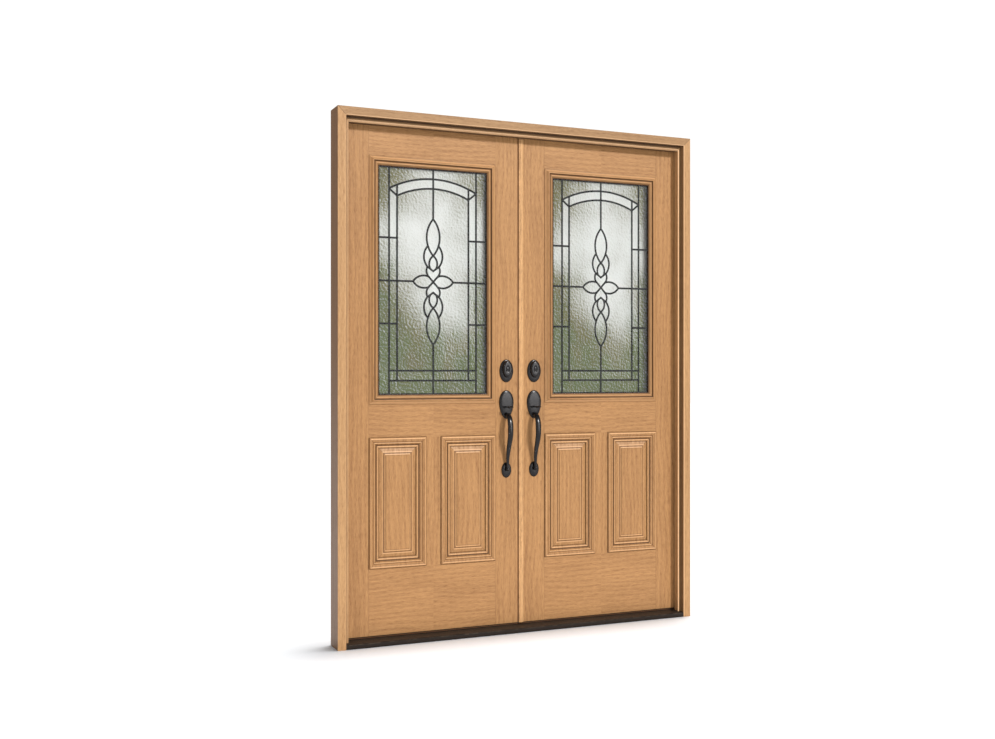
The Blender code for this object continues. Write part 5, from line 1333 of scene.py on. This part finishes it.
class DOOR_OT_hinges(bpy.types.Operator):
    """Bronze butt hinges with round knuckles and screws"""

    bl_idname = "door.hinges"
    bl_label = "Hinges"

    def execute(self, context):
        tones = (0.07, 0.052, 0.04), (0.22, 0.16, 0.11)
        bronze = metal_material("hinge_rubbed_bronze", *tones, 0.85, 60.0, 0.5)
        for word, side in SIDES:
            for number in (1, 2, 3):
                for half in ("frame", "leaf"):
                    node = f"{word}_{half}_hinge_{number}"
                    body = "frame" if half == "frame" else f"{word}_leaf"
                    part = hinge_part(side, node, half == "frame")
                    make_piece(f"{word}_{half}_butt_{number}", part, bronze, body, "hinge_bronze", [node])
        return {"FINISHED"}


class DOOR_OT_sill_and_seals(bpy.types.Operator):
    """Sill, its cap, the sweeps and the weather seals"""

    bl_idname = "door.sill_and_seals"
    bl_label = "Sill and seals"

    def execute(self, context):
        rubber = seal_material()
        dress(sill_material(), "sill")
        cap = oak_material("sill_cap_stained", "level", colours().oak_dark, (0.10, 0.05, 0.02), 3.0)
        dress(cap, "sill_cap")
        dress(rubber, *(node for node in NODES if node.endswith(("_seal", "_sweep"))))
        brown = seal_material("seal_rubber_brown", (0.17, 0.075, 0.030), (0.24, 0.115, 0.050))
        low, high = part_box("astragal_seal")
        leaf_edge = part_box("left_slab")[1].x
        bulb = box_part((leaf_edge + 0.0005, low.y, low.z), tuple(high))
        where = ("right_leaf", "seal_rubber", ["astragal_seal"])
        make_piece("astragal_bulb_seal", bulb, brown, *where, bevel=0.0012)
        return {"FINISHED"}


# Stage

# Each sun: (name, the way it comes from, strength, angle across in degrees, what it shines on)
SUNS = (
    ("key_light", (0.34, -0.78, 0.50), 2.75, 9.0, "unlit_floor"),
    ("fill_light", (-0.70, -0.66, 0.25), 0.62, 50.0, "unlit_floor"),
    ("furniture_light", (0.42, -0.90, 0.14), 0.9, 24.0, "lit_furniture"),
    ("floor_light", (0.08, 0.02, 1.0), 3.0, 11.0, "lit_floor"),
)
ROOM_STRENGTH = 0.30
BACKDROP_STRENGTH = 1.05


def sweep_backdrop():
    """A pale floor as one large flat grid, its faces up."""
    reach = np.linspace(-30.0, 30.0, 7)
    x, y = np.meshgrid(reach, reach, indexing="ij")
    verts = np.stack([x, y, np.full_like(x, -0.0002)], axis=-1).reshape(-1, 3)
    return verts, [face[::-1] for face in grid_faces(7, 7)]


def sun_light(name, towards, strength, angle, receivers):
    """A soft sun that shines from the way given, on the receivers alone."""
    sun = bpy.data.lights.new(name, "SUN")
    sun.energy = strength
    sun.angle = radians(angle)
    obj = bpy.data.objects.new(name, sun)
    obj.rotation_euler = Vector(towards).to_track_quat("Z", "Y").to_euler()
    obj.light_linking.receiver_collection = receivers
    bpy.context.scene.collection.objects.link(obj)


def make_floor():
    material, wiring, shader = start_material("studio_floor")
    cloud = wiring.noise(wiring.object_point(), 0.6, 2.0)
    tone = wiring.blend(cloud, (0.925, 0.935, 0.95), (0.94, 0.95, 0.965))
    wiring.fill(shader, Base_Color=tone, Roughness=0.9, Specular_IOR_Level=0.1)
    verts, faces = sweep_backdrop()
    mesh = bpy.data.meshes.new("studio_floor")
    mesh.from_pydata(verts.tolist(), [], faces)
    mesh.materials.append(material)
    floor = bpy.data.objects.new("studio_floor", mesh)
    bpy.context.scene.collection.objects.link(floor)
    return floor


def make_world():
    """White all round: bright where the camera sees it, also through glass, and soft as a light."""
    world = bpy.data.worlds.new("studio_world")
    world.use_nodes = True
    sky = Wiring(world.node_tree)
    background = world.node_tree.nodes["Background"].inputs
    path = sky.fields(sky.add("ShaderNodeLightPath").outputs)
    seen = sky.largest(path["Is Camera Ray"], path["Is Transmission Ray"])
    strength = seen * (BACKDROP_STRENGTH - ROOM_STRENGTH) + ROOM_STRENGTH
    sky.fill(background, Color=(1.0, 1.0, 1.0), Strength=strength)
    bpy.context.scene.world = world


def make_camera():
    camera = bpy.data.cameras.new("photo_camera")
    camera.lens = sizes().camera_lens
    camera.sensor_width = 36.0
    camera.shift_y = 0.0034
    obj = bpy.data.objects.new("photo_camera", camera)
    obj.location = (-1.9595, -4.277, 1.0577)
    obj.rotation_euler = (radians(90.0), 0.0, radians(-23.453))
    bpy.context.scene.collection.objects.link(obj)
    bpy.context.scene.camera = obj


class DOOR_OT_stage(bpy.types.Operator):
    """Pale floor, soft lights and the camera"""

    bl_idname = "door.stage"
    bl_label = "Stage"

    def execute(self, context):
        floor = make_floor()
        make_world()
        bpy.context.scene.view_settings.view_transform = "Standard"
        names = ("lit_floor", "unlit_floor", "lit_furniture")
        receivers = {name: bpy.data.collections.new(name) for name in names}
        receivers["lit_floor"].objects.link(floor)
        receivers["unlit_floor"].objects.link(floor)
        receivers["unlit_floor"].collection_objects[0].light_linking.link_state = "EXCLUDE"
        for obj in context.scene.objects:
            if obj.type == "MESH" and "oil_rubbed_bronze" in obj.data.materials:
                receivers["lit_furniture"].objects.link(obj)
        for name, towards, strength, angle, lit in SUNS:
            sun_light(name, towards, strength, angle, receivers[lit])
        make_camera()
        return {"FINISHED"}


OPERATORS = (
    DOOR_OT_woodwork,
    DOOR_OT_glazing_frames,
    DOOR_OT_panel_mouldings,
    DOOR_OT_leaded_glass,
    DOOR_OT_locks,
    DOOR_OT_hinges,
    DOOR_OT_sill_and_seals,
    DOOR_OT_stage,
)


class DOOR_PT_panel(bpy.types.Panel):
    """Lists the door's pieces, sizes and colours"""

    bl_idname = "DOOR_PT_panel"
    bl_label = "Glazed double door"
    bl_space_type = "VIEW_3D"
    bl_region_type = "UI"
    bl_category = "Door"

    def draw(self, context):
        layout = self.layout
        for operator in OPERATORS:
            layout.operator(operator.bl_idname)
        for group in (context.scene.door_sizes, context.scene.door_colours):
            for name in group.__annotations__:
                layout.prop(group, name)


CLASSES = (DoorSizes, DoorColours, *OPERATORS, DOOR_PT_panel)


def register():
    for cls in CLASSES:
        bpy.utils.register_class(cls)
    bpy.types.Scene.door_sizes = bpy.props.PointerProperty(type=DoorSizes)
    bpy.types.Scene.door_colours = bpy.props.PointerProperty(type=DoorColours)


def unregister():
    del bpy.types.Scene.door_colours
    del bpy.types.Scene.door_sizes
    for cls in reversed(CLASSES):
        bpy.utils.unregister_class(cls)


def main():
    register()
    for operator in OPERATORS:
        family, action = operator.bl_idname.split(".")
        getattr(getattr(bpy.ops, family), action)()


if __name__ == "__main__":
    main()
